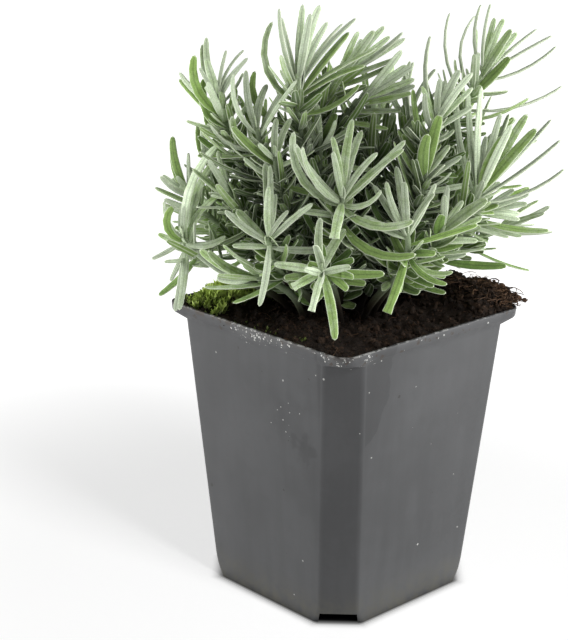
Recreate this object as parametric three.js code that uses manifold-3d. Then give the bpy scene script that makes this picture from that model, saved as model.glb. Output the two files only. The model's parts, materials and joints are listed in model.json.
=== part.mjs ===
// A young lavender plant in a square nursery pot.
// Millimetres, Z up. The plant is laid out in its own frame: x across, y to the rear, z up, and
// that frame stands turned about Z in the pot, so that the plant looks over one corner of it.
import * as THREE from "three";
import Module from "manifold-3d";

const wasm = await Module();
wasm.setup();

// ---- driving dimensions --------------------------------------------------------------------

const POT = {
  height: 104, // floor to rim
  foot: 35.8, // half width at the floor
  mouth: 43.7, // half width just under the rim band
  rim: 45, // half width over the rim band
  band: 3.4, // height of the rim band
  shoulder: 1.6, // slope under the band at the corners
  wall: 1.1,
  chamferFoot: 9.2, // leg of the corner chamfer above the foot
  chamferMouth: 9.1,
  tuck: 2.4, // extra chamfer where the corners curve in at the foot
  rimRadius: 5.8,
  plate: 3.2, // underside of the floor, above the feet
  notch: { height: 3, low: 7.4, high: 6.4 }, // drainage notch, half widths
  drain: { radius: 3, offset: 22 },
};
const TURN = 44; // degrees, the plant's frame about Z
const GAP = 0.3; // between pieces that rest on one another

const SOIL = { top: 100.6, dip: 14 }; // level by the wall, depth that the stems go in
const MOUNDS = [
  // x, y, height, spread: peat heaped up over the rim
  [18, 34, 9, 10],
  [36, 35, 8, 8],
  [-8, 8, 2.5, 16],
];

const STEM = { foot: 1.5, top: 1.35, sides: 4 };
const LEAF = { steps: 20, thick: 0.95, widthScale: 0.86 };
const CLEAR = { leaf: 1.85, stem: 2.7, own: 1.4 };
const SKIRT = 116; // leaves set by rule in front and at the right keep over this height

// Growth rule for a pair of leaves, young at the apex to old below it.
const SIZE = [0.42, 0.72, 0.94, 1, 1, 0.93, 0.84, 0.78];
const OPEN = [8, 18, 30, 43, 56, 68, 78, 86];
const CURL = [4, 8, 12, 18, 25, 32, 38, 40];

// Shoots. at: root x, y. tip: apex. aim: direction of the apex, as a clock seen from the front and
// degrees toward the front. leaves: clock at its base, clock at its end, degrees toward the front,
// length, distance below the apex, width, roll.
const SHOOTS = [
  { name: "front_low", at: [0, -14], tip: [-7, -49, 128.5], aim: [180, 70],
    pairs: 0, length: 24, phase: 0, seed: 4,
    leaves: [
      [-14, 10, 16, 18, 2, 3.4], [80, 82, 55, 13, 1, 3], [96, 84, 0, 20.5, 3, 4],
      [241, 237, 18, 12, 3, 3.6], [192, 194, 22, 15, 2, 3], [161, 176, 18, 24, 4, 4],
      [275, 285, 60, 8, 0, 3], [14, 40, -20, 17, 4, 4], [280, 276, -20, 17, 5, 3.6]] },
  { name: "front_middle", at: [-1, -9], tip: [-1, -32, 150], aim: [0, 25],
    pairs: 4, length: 26, phase: 45, seed: 1,
    leaves: [
      [-4, -18, 20, 21, 0.6, 3], [-12, -14, 38, 17, 0.6, 2.8], [0, 12, -6, 28, 1.2, 3.7],
      [4, 24, -12, 27, 1.2, 3.7], [22, 52, 20, 20, 1.2, 3], [40, 58, 10, 27, 1.8, 3.2],
      [44, 42, -4, 30, 2.4, 3.6], [-58, -22, 6, 25, 1.2, 3.3], [-64, -18, 16, 25, 1.8, 3.2],
      [-72, -4, 24, 27, 2.4, 3.2], [-78, 15, 0, 33, 3, 3.6], [190, 188, 55, 20, 1.8, 4.2],
      [120, 25, 38, 17, 2.4, 3.2], [138, 62, 12, 27, 3.6, 4.6], [155, 70, -8, 31, 9, 4.6],
      [-80, -85, -8, 15, 7, 3.4]] },
  { name: "front_right", at: [5, -9], tip: [20.5, -38, 140.2], aim: [-12, 25],
    pairs: 3, length: 22, phase: 20, seed: 2,
    leaves: [
      [-36, -8, 15, 19, 0.6, 2.8], [-34, -32, -20, 22, 1.8, 3], [-6, -4, 10, 17, 0.6, 3.4],
      [-14, -18, 28, 13, 0.6, 3], [-8, -12, -25, 25, 1.8, 3.6], [18, 46, 10, 16.5, 1.2, 2.8],
      [28, 24, 0, 20, 1.8, 2.8], [-66, -60, -14, 17, 2.4, 4], [72, 72, 0, 24, 5, 3],
      [95, 95, 62, 12, 8, 4.4], [194, 202, 12, 23, 8, 3.9], [160, 92, 12, 18, 8, 3],
      [150, 66, 0, 18, 8, 2.6]] },
  { name: "front_left", at: [-5, -8], tip: [-25, -36, 137], aim: [-2, 25],
    pairs: 3, length: 24, phase: 30, seed: 3,
    leaves: [
      [-8, 8, 20, 17.5, 0.6, 2.8], [-2, -8, -15, 28, 1.8, 3.6], [2, -4, -25, 26, 1.8, 2.8],
      [8, 4, 0, 17.5, 0.6, 2.4], [25, 48, 30, 12, 0.6, 2.4], [42, 56, 15, 19.5, 1.8, 3.2],
      [-66, -44, 10, 18, 1.8, 3.4], [-44, -42, -25, 18, 3, 4.2], [100, 78, 5, 23, 3.6, 3.6],
      [108, 100, 0, 17, 8, 3.4], [178, 194, 32, 24, 2.4, 3], [-86, -90, -18, 13, 3.6, 3.2]] },
  { name: "left_low", at: [-14, -4], tip: [-56.3, -12, 130], aim: [-30, 25],
    pairs: 2, length: 22, phase: 10, seed: 5,
    leaves: [
      [4, 6, 25, 11, 0, 2.6], [-24, 42, 10, 19, 1.2, 2.8, 60], [-58, 6, 0, 16, 1.2, 2.6, 40],
      [-85, 55, 0, 16, 1.8, 3.8], [234, 244, 10, 13, 1.8, 2.8], [132, 124, 15, 19.5, 1.8, 3.1],
      [180, 192, 14, 25, 2.4, 3.6], [176, 188, 30, 26, 3, 3.4], [204, 206, -10, 14, 3.6, 3],
      [112, 50, 12, 16, 2.4, 4], [-12, 50, 0, 38, 3, 4.6], [-18, 42, -12, 36, 8, 5],
      [4, 62, 10, 21, 3.6, 4], [214, 236, -10, 20, 9, 3.8]] },
  { name: "left_middle", at: [-13, 3], tip: [-56, 3, 143], aim: [-35, 10],
    pairs: 3, length: 22, phase: 60, seed: 6,
    leaves: [
      [-34, 2, 5, 21, 1, 3.9], [-46, 2, -10, 18, 2, 3.3], [0, -2, 10, 14, 1, 2.8, 60],
      [-62, -52, 8, 11, 1, 2.4], [-70, -56, 0, 9, 2, 2.2], [-82, -34, 0, 14, 3, 2.8, 60]] },
  { name: "left_high", at: [-10, 2], tip: [-45, 2, 178], aim: [-12, 5],
    pairs: 3, length: 25, phase: 0, seed: 7,
    leaves: [
      [-28, 4, 0, 22, 2, 3], [-36, 2, 0, 22, 3, 3.2], [-22, -16, 8, 13, 1, 3.6],
      [2, 16, 0, 16, 1, 2.6, 60], [4, 48, 0, 20, 2, 2.6, 65], [14, 52, 0, 18, 2, 2.8, 55],
      [22, 48, 0, 18, 3, 3.4], [-72, -30, 5, 19, 5, 3, 40], [-70, 20, 5, 25, 8, 4.2],
      [-66, 18, 5, 24, 15, 4], [-78, 0, 5, 18, 19, 4], [-30, -34, 20, 15, 4, 2.8]] },
  { name: "left_inner", at: [-8, -3], tip: [-31, -8, 168], aim: [-15, 5],
    pairs: 3, length: 26, phase: 45, seed: 8,
    leaves: [
      [-55, 12, 0, 24, 3, 2.8, 40], [-24, 2, 8, 22, 2, 3], [-10, 30, -8, 18, 2, 3.6],
      [-100, -28, 0, 21, 8, 3, 75], [-85, 4, 8, 18, 9, 3.6], [20, 40, -5, 26, 3, 3],
      [28, 40, 5, 24, 4, 3]] },
  { name: "top", at: [-3, 0], tip: [-17, -4, 184], aim: [2, 4],
    pairs: 3, length: 30, phase: 20, seed: 9,
    leaves: [
      [-1, 5, 0, 28, 2, 3.4], [6, 24, 4, 28, 2, 4.2], [8, 12, 12, 25, 2, 3.6], [14, 32, 0, 25, 2, 3.6],
      [18, 44, -5, 31, 3, 3, 65], [28, 52, 0, 31, 3, 3.2, 40], [-16, -14, 0, 24, 2, 2.8, 65],
      [-28, 0, 0, 28, 3, 2.8, 60], [-66, 34, 5, 33, 8, 3], [34, 42, 10, 28, 6, 4.2],
      [48, 78, 5, 26, 7, 4], [54, 66, 0, 31, 5, 3], [88, 36, 10, 24, 12, 3.4], [-95, 22, 8, 32, 15, 3.4],
      [-8, 14, 30, 9, 8, 3]] },
  { name: "top_right", at: [-1, 5], tip: [-1, 12, 185], aim: [42, 0],
    pairs: 3, length: 26, phase: 45, seed: 10,
    leaves: [
      [34, 36, 0, 18, 1, 3.2], [40, 44, 8, 21, 1, 3.2], [48, 50, 0, 22, 2, 3.2],
      [54, 52, -8, 23, 2, 3.2], [60, 58, 5, 26, 3, 3.4], [66, 46, -5, 28, 4, 3, 50],
      [28, 20, -5, 15, 1, 2.8], [72, 70, 10, 24, 5, 3.6], [16, 30, 10, 17, 3, 3.2],
      [40, 38, 20, 24, 6, 4], [78, 60, 15, 22, 8, 3.6]] },
  { name: "top_inner", at: [2, 2], tip: [7, 4, 178], aim: [55, 5],
    pairs: 3, length: 26, phase: 0, seed: 11,
    leaves: [
      [50, 50, 0, 18, 1, 3.2], [58, 56, 10, 20, 2, 3.2], [64, 66, 0, 21, 3, 3.4],
      [72, 66, -5, 22, 4, 3.4], [44, 36, 5, 22, 3, 3.4], [80, 76, 12, 20, 6, 3.6],
      [88, 90, 10, 18, 9, 3.6], [98, 100, 5, 16, 13, 3.6]] },
  { name: "middle_left", at: [-5, -5], tip: [-24, -18, 160], aim: [-6, 20],
    pairs: 2, length: 20, phase: 0, seed: 12,
    leaves: [
      [-8, 10, 10, 14, 1, 3], [4, 32, 5, 16.5, 2, 3.2], [-50, -46, 20, 8, 1, 2.8],
      [-58, -40, -5, 20, 3, 4], [-70, -48, 10, 14, 8, 2.8], [-60, -40, 15, 12, 12, 2.8],
      [60, 70, 10, 10, 4, 2.8], [100, 110, 0, 14, 10, 3.4]] },
  { name: "right_high", at: [9, 4], tip: [46.3, 6, 186.3], aim: [24, 0],
    pairs: 2, length: 24, phase: 15, seed: 13,
    leaves: [
      [8, 14, 0, 20, 1, 3], [14, 26, 5, 20, 1, 3.1], [28, 36, 8, 20, 3, 3.8], [32, 42, -6, 21, 3, 3.6],
      [40, 52, 0, 29, 3, 3, 72], [54, 62, 0, 29, 3, 3, 72], [84, 42, 0, 30, 4, 3, 75],
      [48, 40, 10, 19, 10, 4.6], [-6, 16, 0, 24, 1, 2.6, 75], [-26, 24, 0, 25, 1, 2.6, 75],
      [-36, 42, -5, 31, 8, 2.6, 80], [-42, 20, 5, 33, 12, 2.6, 80], [96, 52, 0, 36, 15, 3, 80],
      [10, 4, 0, 8, 9, 2.4]] },
  { name: "right_inner", at: [9, -1], tip: [30, -8, 172.8], aim: [12, 5],
    pairs: 2, length: 24, phase: 70, seed: 14,
    leaves: [
      [18, 30, 0, 20, 2, 3.8], [28, 44, 4, 22, 3, 3.6], [44, 46, 5, 18, 3, 3.1], [0, 8, 10, 13, 0, 2.8],
      [8, 16, 0, 14, 0, 2.8], [-22, 16, -5, 31, 2, 2.8, 60], [56, 60, 10, 16, 5, 3.2],
      [-10, -30, 10, 14, 3, 3]] },
  { name: "right_middle", at: [4, -5], tip: [27, -15, 156], aim: [4, 8],
    pairs: 2, length: 24, phase: 30, seed: 19,
    leaves: [
      [6, 18, 8, 21, 2, 5.2], [-18, 22, 15, 16, 3, 5.2], [34, 40, 10, 13, 2, 3.6],
      [50, 60, 10, 15, 4, 3.4], [-40, -30, 10, 14, 5, 3.4], [80, 76, 5, 16, 8, 3.6]] },
  { name: "right_rear", at: [5, 6], tip: [22, 20, 168], aim: [0, 0],
    pairs: 3, length: 24, phase: 20, seed: 15,
    leaves: [
      [-22, 22, 0, 22, 2, 3, 40], [-14, 20, -5, 24, 3, 3, 50], [-14, -4, 0, 17, 2, 2.8, 60],
      [-34, -30, 0, 16, 4, 3.4], [10, 44, 0, 20, 1, 2.8, 50], [30, 50, 0, 15, 3, 2.8, 60]] },
  { name: "right_outer", at: [11, -4], tip: [46, -14, 150], aim: [25, 10],
    pairs: 2, length: 26, phase: 30, seed: 16,
    leaves: [
      [14, 32, 20, 21, 2, 5.6], [12, 16, 5, 28, 2, 3.2], [22, 26, 8, 26, 2, 3.5],
      [20, 20, -8, 35, 3, 3.2, 50], [28, 32, -4, 33, 3, 4.2], [38, 42, 6, 30, 3, 4.4],
      [44, 40, -6, 38, 4, 3, 60], [60, 46, 0, 36, 5, 3, 65], [88, 46, 0, 34, 6, 3, 70],
      [-10, -2, 8, 37, 3, 3.2], [-4, 6, -4, 37, 3, 3.2], [-24, 2, 12, 35, 4, 3, 25],
      [-2, 14, 4, 20, 1, 3]] },
  { name: "right_side", at: [13, 0], tip: [49, -6, 141], aim: [65, 15],
    pairs: 2, length: 22, phase: 0, seed: 17,
    leaves: [
      [60, 66, 0, 17, 1, 3.2], [68, 72, 8, 17, 2, 3.2], [76, 82, 0, 16, 2, 3.2], [84, 96, 8, 15, 3, 3.2],
      [96, 104, 0, 15, 4, 3.2], [52, 60, 10, 13, 1, 2.8], [112, 86, 12, 28, 7, 3.6],
      [112, 100, -5, 20, 8, 3], [120, 60, 5, 14, 10, 2.8]] },
  { name: "right_front", at: [8, -7], tip: [33, -31, 141], aim: [20, 25],
    pairs: 1, length: 20, phase: 45, seed: 18,
    leaves: [
      [-10, 26, 45, 9, 5, 5], [48, 58, 15, 19, 3, 5], [-4, 2, 5, 10, 0, 3], [4, 6, -5, 15, 1, 2.8],
      [66, 60, 0, 16, 5, 3.4], [80, 95, 5, 14, 7, 3.4], [30, 36, 0, 14, 2, 3]] },
  { name: "right_low", at: [13, -10], tip: [32.8, -15, 124.3], aim: [98, 10],
    pairs: 0, length: 18, phase: 45, seed: 23,
    leaves: [
      [99, 86, 0, 23, 0, 3.8]] },
  { name: "left_front", at: [-13, -8], tip: [-31, -28, 121], aim: [-80, 10],
    pairs: 0, length: 24, phase: 45, seed: 20,
    leaves: [
      [-82, -48, 5, 23, 3, 4.2], [-88, -40, 15, 22, 4, 3.6], [-110, -70, -10, 14, 1, 3.2]] },
  { name: "left_rear", at: [-12, 6], tip: [-49, 13, 151], aim: [-10, 0],
    pairs: 3, length: 22, phase: 0, seed: 21,
    leaves: [
      [-34, 6, 0, 17, 2, 3.8], [-20, 2, 0, 14, 1, 3.6], [20, 4, 5, 15, 1, 5], [50, 30, 5, 18, 3, 3.6]] },
  { name: "centre", at: [-2, -4], tip: [-9, -6, 165], aim: [4, 10],
    pairs: 3, length: 22, phase: 0, seed: 22,
    leaves: [
      [14, 28, 5, 15, 6, 4.4], [-30, -20, 10, 14, 4, 3.4], [60, 50, 10, 14, 4, 3.4],
      [-10, -4, 0, 12, 1, 3], [92, 96, 0, 20, 10, 3.4]] },
  { name: "left_centre", at: [-10, -1], tip: [-41, -10, 148], aim: [-25, 20],
    pairs: 4, length: 24, phase: 40, seed: 41 },
  { name: "right_centre", at: [2, -3], tip: [13, 6, 162], aim: [20, 5],
    pairs: 5, length: 25, phase: 10, seed: 42 },
  { name: "rear_1", at: [-9, 8], tip: [-34, 26, 154], aim: [-22, -15],
    pairs: 7, length: 27, phase: 20, seed: 31 },
  { name: "rear_2", at: [-4, 10], tip: [-14, 35, 166], aim: [-10, -20],
    pairs: 7, length: 27, phase: 60, seed: 32 },
  { name: "rear_3", at: [2, 9], tip: [9, 37, 168], aim: [10, -20],
    pairs: 7, length: 27, phase: 0, seed: 33 },
  { name: "rear_4", at: [8, 11], tip: [31, 34, 150], aim: [25, -20],
    pairs: 7, length: 26, phase: 40, seed: 34 },
  { name: "rear_5", at: [13, 8], tip: [50, 24, 156], aim: [35, -15],
    pairs: 7, length: 27, phase: 10, seed: 35 },
  { name: "rear_6", at: [-7, 14], tip: [-26, 50, 132], aim: [-35, -45],
    pairs: 6, length: 25, phase: 70, seed: 36 },
  { name: "rear_7", at: [0, 15], tip: [6, 55, 132], aim: [10, -50],
    pairs: 6, length: 25, phase: 30, seed: 37 },
  { name: "rear_8", at: [10, 16], tip: [36, 48, 128], aim: [40, -45],
    pairs: 6, length: 25, phase: 50, seed: 38 },
  { name: "rear_9", at: [16, 5], tip: [60, 14, 130], aim: [70, -20],
    pairs: 6, length: 25, phase: 0, seed: 39 },
  { name: "rear_10", at: [-14, 10], tip: [-52, 30, 128], aim: [-55, -20],
    pairs: 6, length: 25, phase: 20, seed: 40 },
];

// ---- small tools -----------------------------------------------------------------------------

const rad = (d) => (d * Math.PI) / 180;
const vec = (x, y, z) => new THREE.Vector3(x, y, z);
const times = (v, k) => v.clone().multiplyScalar(k);
const plus = (a, b) => a.clone().add(b);
const less = (a, b) => a.clone().sub(b);
const crossed = (a, b) => new THREE.Vector3().crossVectors(a, b);
const squared = (a, b) => a.distanceToSquared(b);

// Seeded random numbers, the same on every run.
function seeded(seed) {
  let state = (Math.imul(seed, 2654435761) + 12345) >>> 0;
  const draw = () => {
    state = (Math.imul(state, 1664525) + 1013904223) >>> 0;
    return state / 2147483648 - 1;
  };
  for (let i = 0; i < 4; i++) draw();
  return draw;
}

// Faces of a tube of rings with the same number of points, closed by a fan at both ends.
function tube(rings, startCap = null, endCap = null) {
  const n = rings[0].length;
  const points = rings.flat();
  const faces = [];
  for (let r = 0; r + 1 < rings.length; r++)
    for (let i = 0; i < n; i++) {
      const j = (i + 1) % n;
      const [a, b, c, d] = [r * n + i, r * n + j, (r + 1) * n + j, (r + 1) * n + i];
      faces.push([a, b, c], [a, c, d]);
    }
  const last = (rings.length - 1) * n;
  if (startCap) {
    const at = points.push(startCap) - 1;
    for (let i = 0; i < n; i++) faces.push([at, (i + 1) % n, i]);
  } else for (let i = 1; i + 1 < n; i++) faces.push([0, i + 1, i]);
  if (endCap) {
    const at = points.push(endCap) - 1;
    for (let i = 0; i < n; i++) faces.push([at, last + i, last + ((i + 1) % n)]);
  } else for (let i = 1; i + 1 < n; i++) faces.push([last, last + i, last + i + 1]);
  return { points, faces };
}

// A closed solid of those faces, turned outward.
function solid({ points, faces }) {
  const signed = ([a, b, c]) => points[a].dot(crossed(points[b], points[c]));
  const volume = faces.reduce((sum, face) => sum + signed(face), 0);
  const outward = volume < 0 ? faces.map(([a, b, c]) => [a, c, b]) : faces;
  return new wasm.Manifold(
    new wasm.Mesh({
      numProp: 3,
      vertProperties: new Float32Array(points.flatMap((p) => [p.x, p.y, p.z])),
      triVerts: new Uint32Array(outward.flat()),
    }),
  );
}

function joined(solids) {
  let list = solids.slice();
  while (list.length > 1) {
    const next = [];
    for (let i = 0; i < list.length; i += 2)
      next.push(i + 1 < list.length ? list[i].add(list[i + 1]) : list[i]);
    list = next;
  }
  return list[0];
}

// The largest body of a solid, its sealed hollows filled and loose scraps dropped.
function largest(made) {
  const bodies = made.decompose();
  return bodies.reduce((a, b) => (b.volume() > a.volume() ? b : a));
}

function geometryOf(made) {
  const m = made.getMesh();
  const position = new Float32Array(m.numVert * 3);
  for (let i = 0; i < m.numVert; i++)
    position.set(m.vertProperties.subarray(i * m.numProp, i * m.numProp + 3), i * 3);
  const g = new THREE.BufferGeometry();
  g.setAttribute("position", new THREE.BufferAttribute(position, 3));
  g.setIndex(new THREE.BufferAttribute(new Uint32Array(m.triVerts), 1));
  g.computeVertexNormals();
  return g;
}

// ---- pot -------------------------------------------------------------------------------------

// A level outline of the pot: a square with chamfered corners, or with round ones.
function outline(z, half, leg, radius = 0) {
  const soft = 0.8;
  const c = half - radius;
  const arcPoint = (a) => [c + radius * Math.cos(rad(a)), c + radius * Math.sin(rad(a))];
  const arc = [0, 30, 60, 90].map(arcPoint);
  const before = [half, half - leg - soft];
  const after = [half - soft / Math.SQRT2, half - leg + soft / Math.SQRT2];
  const corner = radius ? arc : [before, after, [after[1], after[0]], [before[1], before[0]]];
  const ring = [];
  for (let q = 0; q < 4; q++)
    for (const [x, y] of corner) {
      const [c, s] = [[1, 0], [0, 1], [-1, 0], [0, -1]][q];
      ring.push(vec(x * c - y * s, x * s + y * c, z));
    }
  return ring;
}

const MOUTH_Z = POT.height - POT.band - POT.shoulder;
const outerHalf = (z) => POT.foot + ((POT.mouth - POT.foot) * z) / MOUTH_Z;

function outerLeg(z) {
  const straight = POT.chamferFoot + ((POT.chamferMouth - POT.chamferFoot) * z) / POT.height;
  return straight + POT.tuck * Math.max(0, 1 - z / 8) ** 2;
}

const innerLeg = (z) => outerLeg(z) - 0.586 * POT.wall;

function potSolid() {
  const H = POT.height;
  const under = H - POT.band;
  const below = under - POT.shoulder;
  const w = POT.wall;
  const outer = (z) => outline(z, outerHalf(z), outerLeg(z));
  const inner = (z) => outline(z, outerHalf(z) - w, innerLeg(z));
  const rings = [
    outline(POT.plate, outerHalf(3) - w - 0.2, innerLeg(3)),
    outline(0, outerHalf(0) - w, innerLeg(0)),
    outline(0, outerHalf(0), outerLeg(0)),
    outer(4.5),
    outer(8),
    outer(below),
    outline(under, POT.rim - 0.4, 0, POT.rimRadius),
    outline(H - 0.5, POT.rim, 0, POT.rimRadius),
    outline(H, POT.rim - 0.3, 0, POT.rimRadius - 0.2),
    outline(H, POT.rim - w, 0, POT.rimRadius - 0.9),
    outline(under, POT.rim - w - 0.25, 0, POT.rimRadius - 1),
    inner(below - 0.6),
    inner(9),
    outline(POT.plate + w, outerHalf(5) - w - 0.4, innerLeg(5) + 0.4),
  ];
  let body = solid(tube(rings, vec(0, 0, POT.plate), vec(0, 0, POT.plate + w)));
  const { height: nh, low, high } = POT.notch;
  const mid = (outerHalf(0) - outerLeg(0) / 2) * Math.SQRT2;
  for (let q = 0; q < 4; q++) {
    const turn = (p) => p.applyAxisAngle(vec(0, 0, 1), rad(45 + 90 * q));
    const end = (x) =>
      [vec(x, -low, -1), vec(x, low, -1), vec(x, high, nh), vec(x, -high, nh)].map(turn);
    body = body.subtract(solid(tube([end(mid - 5), end(mid + 5)])));
    const { radius, offset } = POT.drain;
    const hole = (z) =>
      Array.from({ length: 8 }, (_, i) =>
        turn(vec(offset + radius * Math.cos(rad(45 * i)), radius * Math.sin(rad(45 * i)), z)),
      );
    body = body.subtract(solid(tube([hole(POT.plate - 1), hole(POT.plate + w + 1)])));
  }
  return body;
}

// ---- the plant's frame and its stems ---------------------------------------------------------

const ACROSS = vec(1, 0, 0);
const UPPER = vec(0, Math.sin(rad(21)), Math.cos(rad(21)));
const TOWARD = vec(0, -Math.cos(rad(21)), Math.sin(rad(21)));

// A direction read as a clock from the front, and degrees toward the front.
function front(clock, toward) {
  const [c, t] = [rad(clock), rad(toward)];
  return times(ACROSS, Math.cos(t) * Math.sin(c))
    .add(times(UPPER, Math.cos(t) * Math.cos(c)))
    .add(times(TOWARD, Math.sin(t)));
}

function stemLine(shoot) {
  const root = vec(shoot.at[0], shoot.at[1], POT.height - 1 - SOIL.dip);
  const tip = vec(...shoot.tip);
  const span = root.distanceTo(tip);
  const upright = plus(root, vec(0, 0, span * 0.42));
  const before = less(tip, times(front(...shoot.aim), span * 0.34));
  const curve = new THREE.CubicBezierCurve3(root, upright, before, tip);
  return Array.from({ length: 25 }, (_, i) => curve.getPoint(i / 24));
}

// The point and the heading of a line, so far back from its end.
function back(line, distance) {
  let left = distance;
  for (let i = line.length - 1; i > 0; i--) {
    const step = less(line[i], line[i - 1]);
    const long = step.length();
    if (left <= long) return [plus(line[i], times(step, -left / long)), times(step, 1 / long)];
    left -= long;
  }
  return [line[0].clone(), less(line[1], line[0]).normalize()];
}

const lengthOf = (line) => line.slice(1).reduce((sum, p, i) => sum + p.distanceTo(line[i]), 0);

// ---- leaves ----------------------------------------------------------------------------------

// A blade swept along headings, its upper face turned to the faces given, then rolled.
function sweep(base, headings, faces, length, width, roll) {
  const leaf = { points: [], across: [], up: [], length, width };
  let p = base.clone();
  headings.forEach((d, i) => {
    const w = crossed(d, faces[i]).normalize();
    const n = crossed(w, d);
    const side = times(w, Math.cos(rad(roll))).add(times(n, Math.sin(rad(roll))));
    leaf.points.push(p);
    leaf.across.push(side);
    leaf.up.push(crossed(side, d));
    p = plus(p, times(d, length / LEAF.steps));
  });
  return leaf;
}

// A leaf whose direction is read from the front.
function frontLeaf(line, [clock, clockEnd, toward, length, distance, width = 3.2, roll = 0]) {
  const [base, axis] = back(line, distance);
  const headings = [];
  for (let i = 0; i <= LEAF.steps; i++) {
    const u = i / LEAF.steps;
    headings.push(front(clock + (clockEnd - clock) * u, toward * (1 - 0.5 * u)));
  }
  const mid = headings[LEAF.steps / 2];
  const lead = roll ? TOWARD : plus(axis, times(TOWARD, 0.8));
  const face = less(lead, times(mid, lead.dot(mid))).normalize();
  return sweep(base, headings, headings.map(() => face), length, width * LEAF.widthScale, roll);
}

// A leaf set round the stem by rule: clock about the stem, spread away from it, curl back to it.
function ringLeaf([base, axis], clock, spread, length, curl, sway, roll, width) {
  const ref = less(UPPER, times(axis, UPPER.dot(axis)));
  const other = less(ACROSS, times(axis, ACROSS.dot(axis)));
  const up = (ref.lengthSq() < 1e-3 ? other : ref).normalize();
  const side = crossed(axis, up);
  const out = less(times(up, Math.cos(rad(clock))), times(side, Math.sin(rad(clock))));
  const tangent = crossed(axis, out);
  const [headings, faces] = [[], []];
  for (let i = 0; i <= LEAF.steps; i++) {
    const u = i / LEAF.steps;
    const s = rad(spread - curl * u);
    const d = plus(times(axis, Math.cos(s)), times(out, Math.sin(s)));
    headings.push(d.add(times(tangent, Math.tan(rad(sway) * u))).normalize());
    faces.push(less(times(axis, Math.sin(s)), times(out, Math.cos(s))).normalize());
  }
  return sweep(base, headings, faces, length, width * LEAF.widthScale, roll);
}

// Share of the full width along a blade: narrow base, widest by its middle, drawn in to a blunt tip.
function breadth(u) {
  const base = 0.34 + 0.66 * Math.sin((Math.min(u / 0.45, 1) * Math.PI) / 2);
  const drawnIn = 1 - 0.34 * (Math.max(0, u - 0.5) / 0.5) ** 1.5;
  return base * drawnIn * Math.sqrt(Math.max(0, 1 - (Math.max(0, u - 0.9) / 0.1) ** 2));
}

// ---- soil ------------------------------------------------------------------------------------

// Height of the soil at x, y in the pot's frame.
function soilTop(x, y) {
  const waves = 0.45 * Math.sin(0.51 * x + 1.3) * Math.cos(0.43 * y) + 0.35 * Math.sin(0.9 * y + 0.37 * x);
  const far = (mx, my) => (x - mx) ** 2 + (y - my) ** 2;
  const mound = ([mx, my, high, wide]) => high * Math.exp(-far(mx, my) / (2 * wide * wide));
  return MOUNDS.reduce((z, each) => z + mound(each), SOIL.top + waves);
}

const inPot = (p) => {
  const [c, s] = [Math.cos(rad(TURN)), Math.sin(rad(TURN))];
  return [p.x * c - p.y * s, p.x * s + p.y * c];
};

// ---- where each leaf finds room --------------------------------------------------------------

function samplesOf(leaf) {
  const points = [];
  leaf.points.forEach((p, i) => {
    const half = Math.max(0.3, (breadth(i / LEAF.steps) * leaf.width) / 2);
    for (const k of [-1, -0.5, 0, 0.5, 1]) points.push(plus(p, times(leaf.across[i], k * half)));
  });
  const outer = points.slice(5 * 8);
  const centre = points.reduce((sum, p) => sum.add(p), vec(0, 0, 0)).multiplyScalar(1 / points.length);
  const radius = Math.sqrt(Math.max(...points.map((p) => squared(p, centre))));
  return { points, outer, centre, radius };
}

function overPot(points) {
  return points.every((p) => {
    const [x, y] = inPot(p);
    const m = Math.max(Math.abs(x), Math.abs(y), (Math.abs(x) + Math.abs(y)) / 1.31);
    if (m >= 48) return true;
    return p.z >= (m < 43 ? soilTop(x, y) + 1.6 : Math.max(POT.height + 1.4, soilTop(x, y) + 1.6));
  });
}

const overSkirt = (leaf) => leaf.points.every((p) => (p.y > 0 && p.x < 35) || p.z > SKIRT);

function clash(a, b, distance) {
  const limit = distance * distance;
  for (const p of a) for (const q of b) if (squared(p, q) < limit) return true;
  return false;
}

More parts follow.
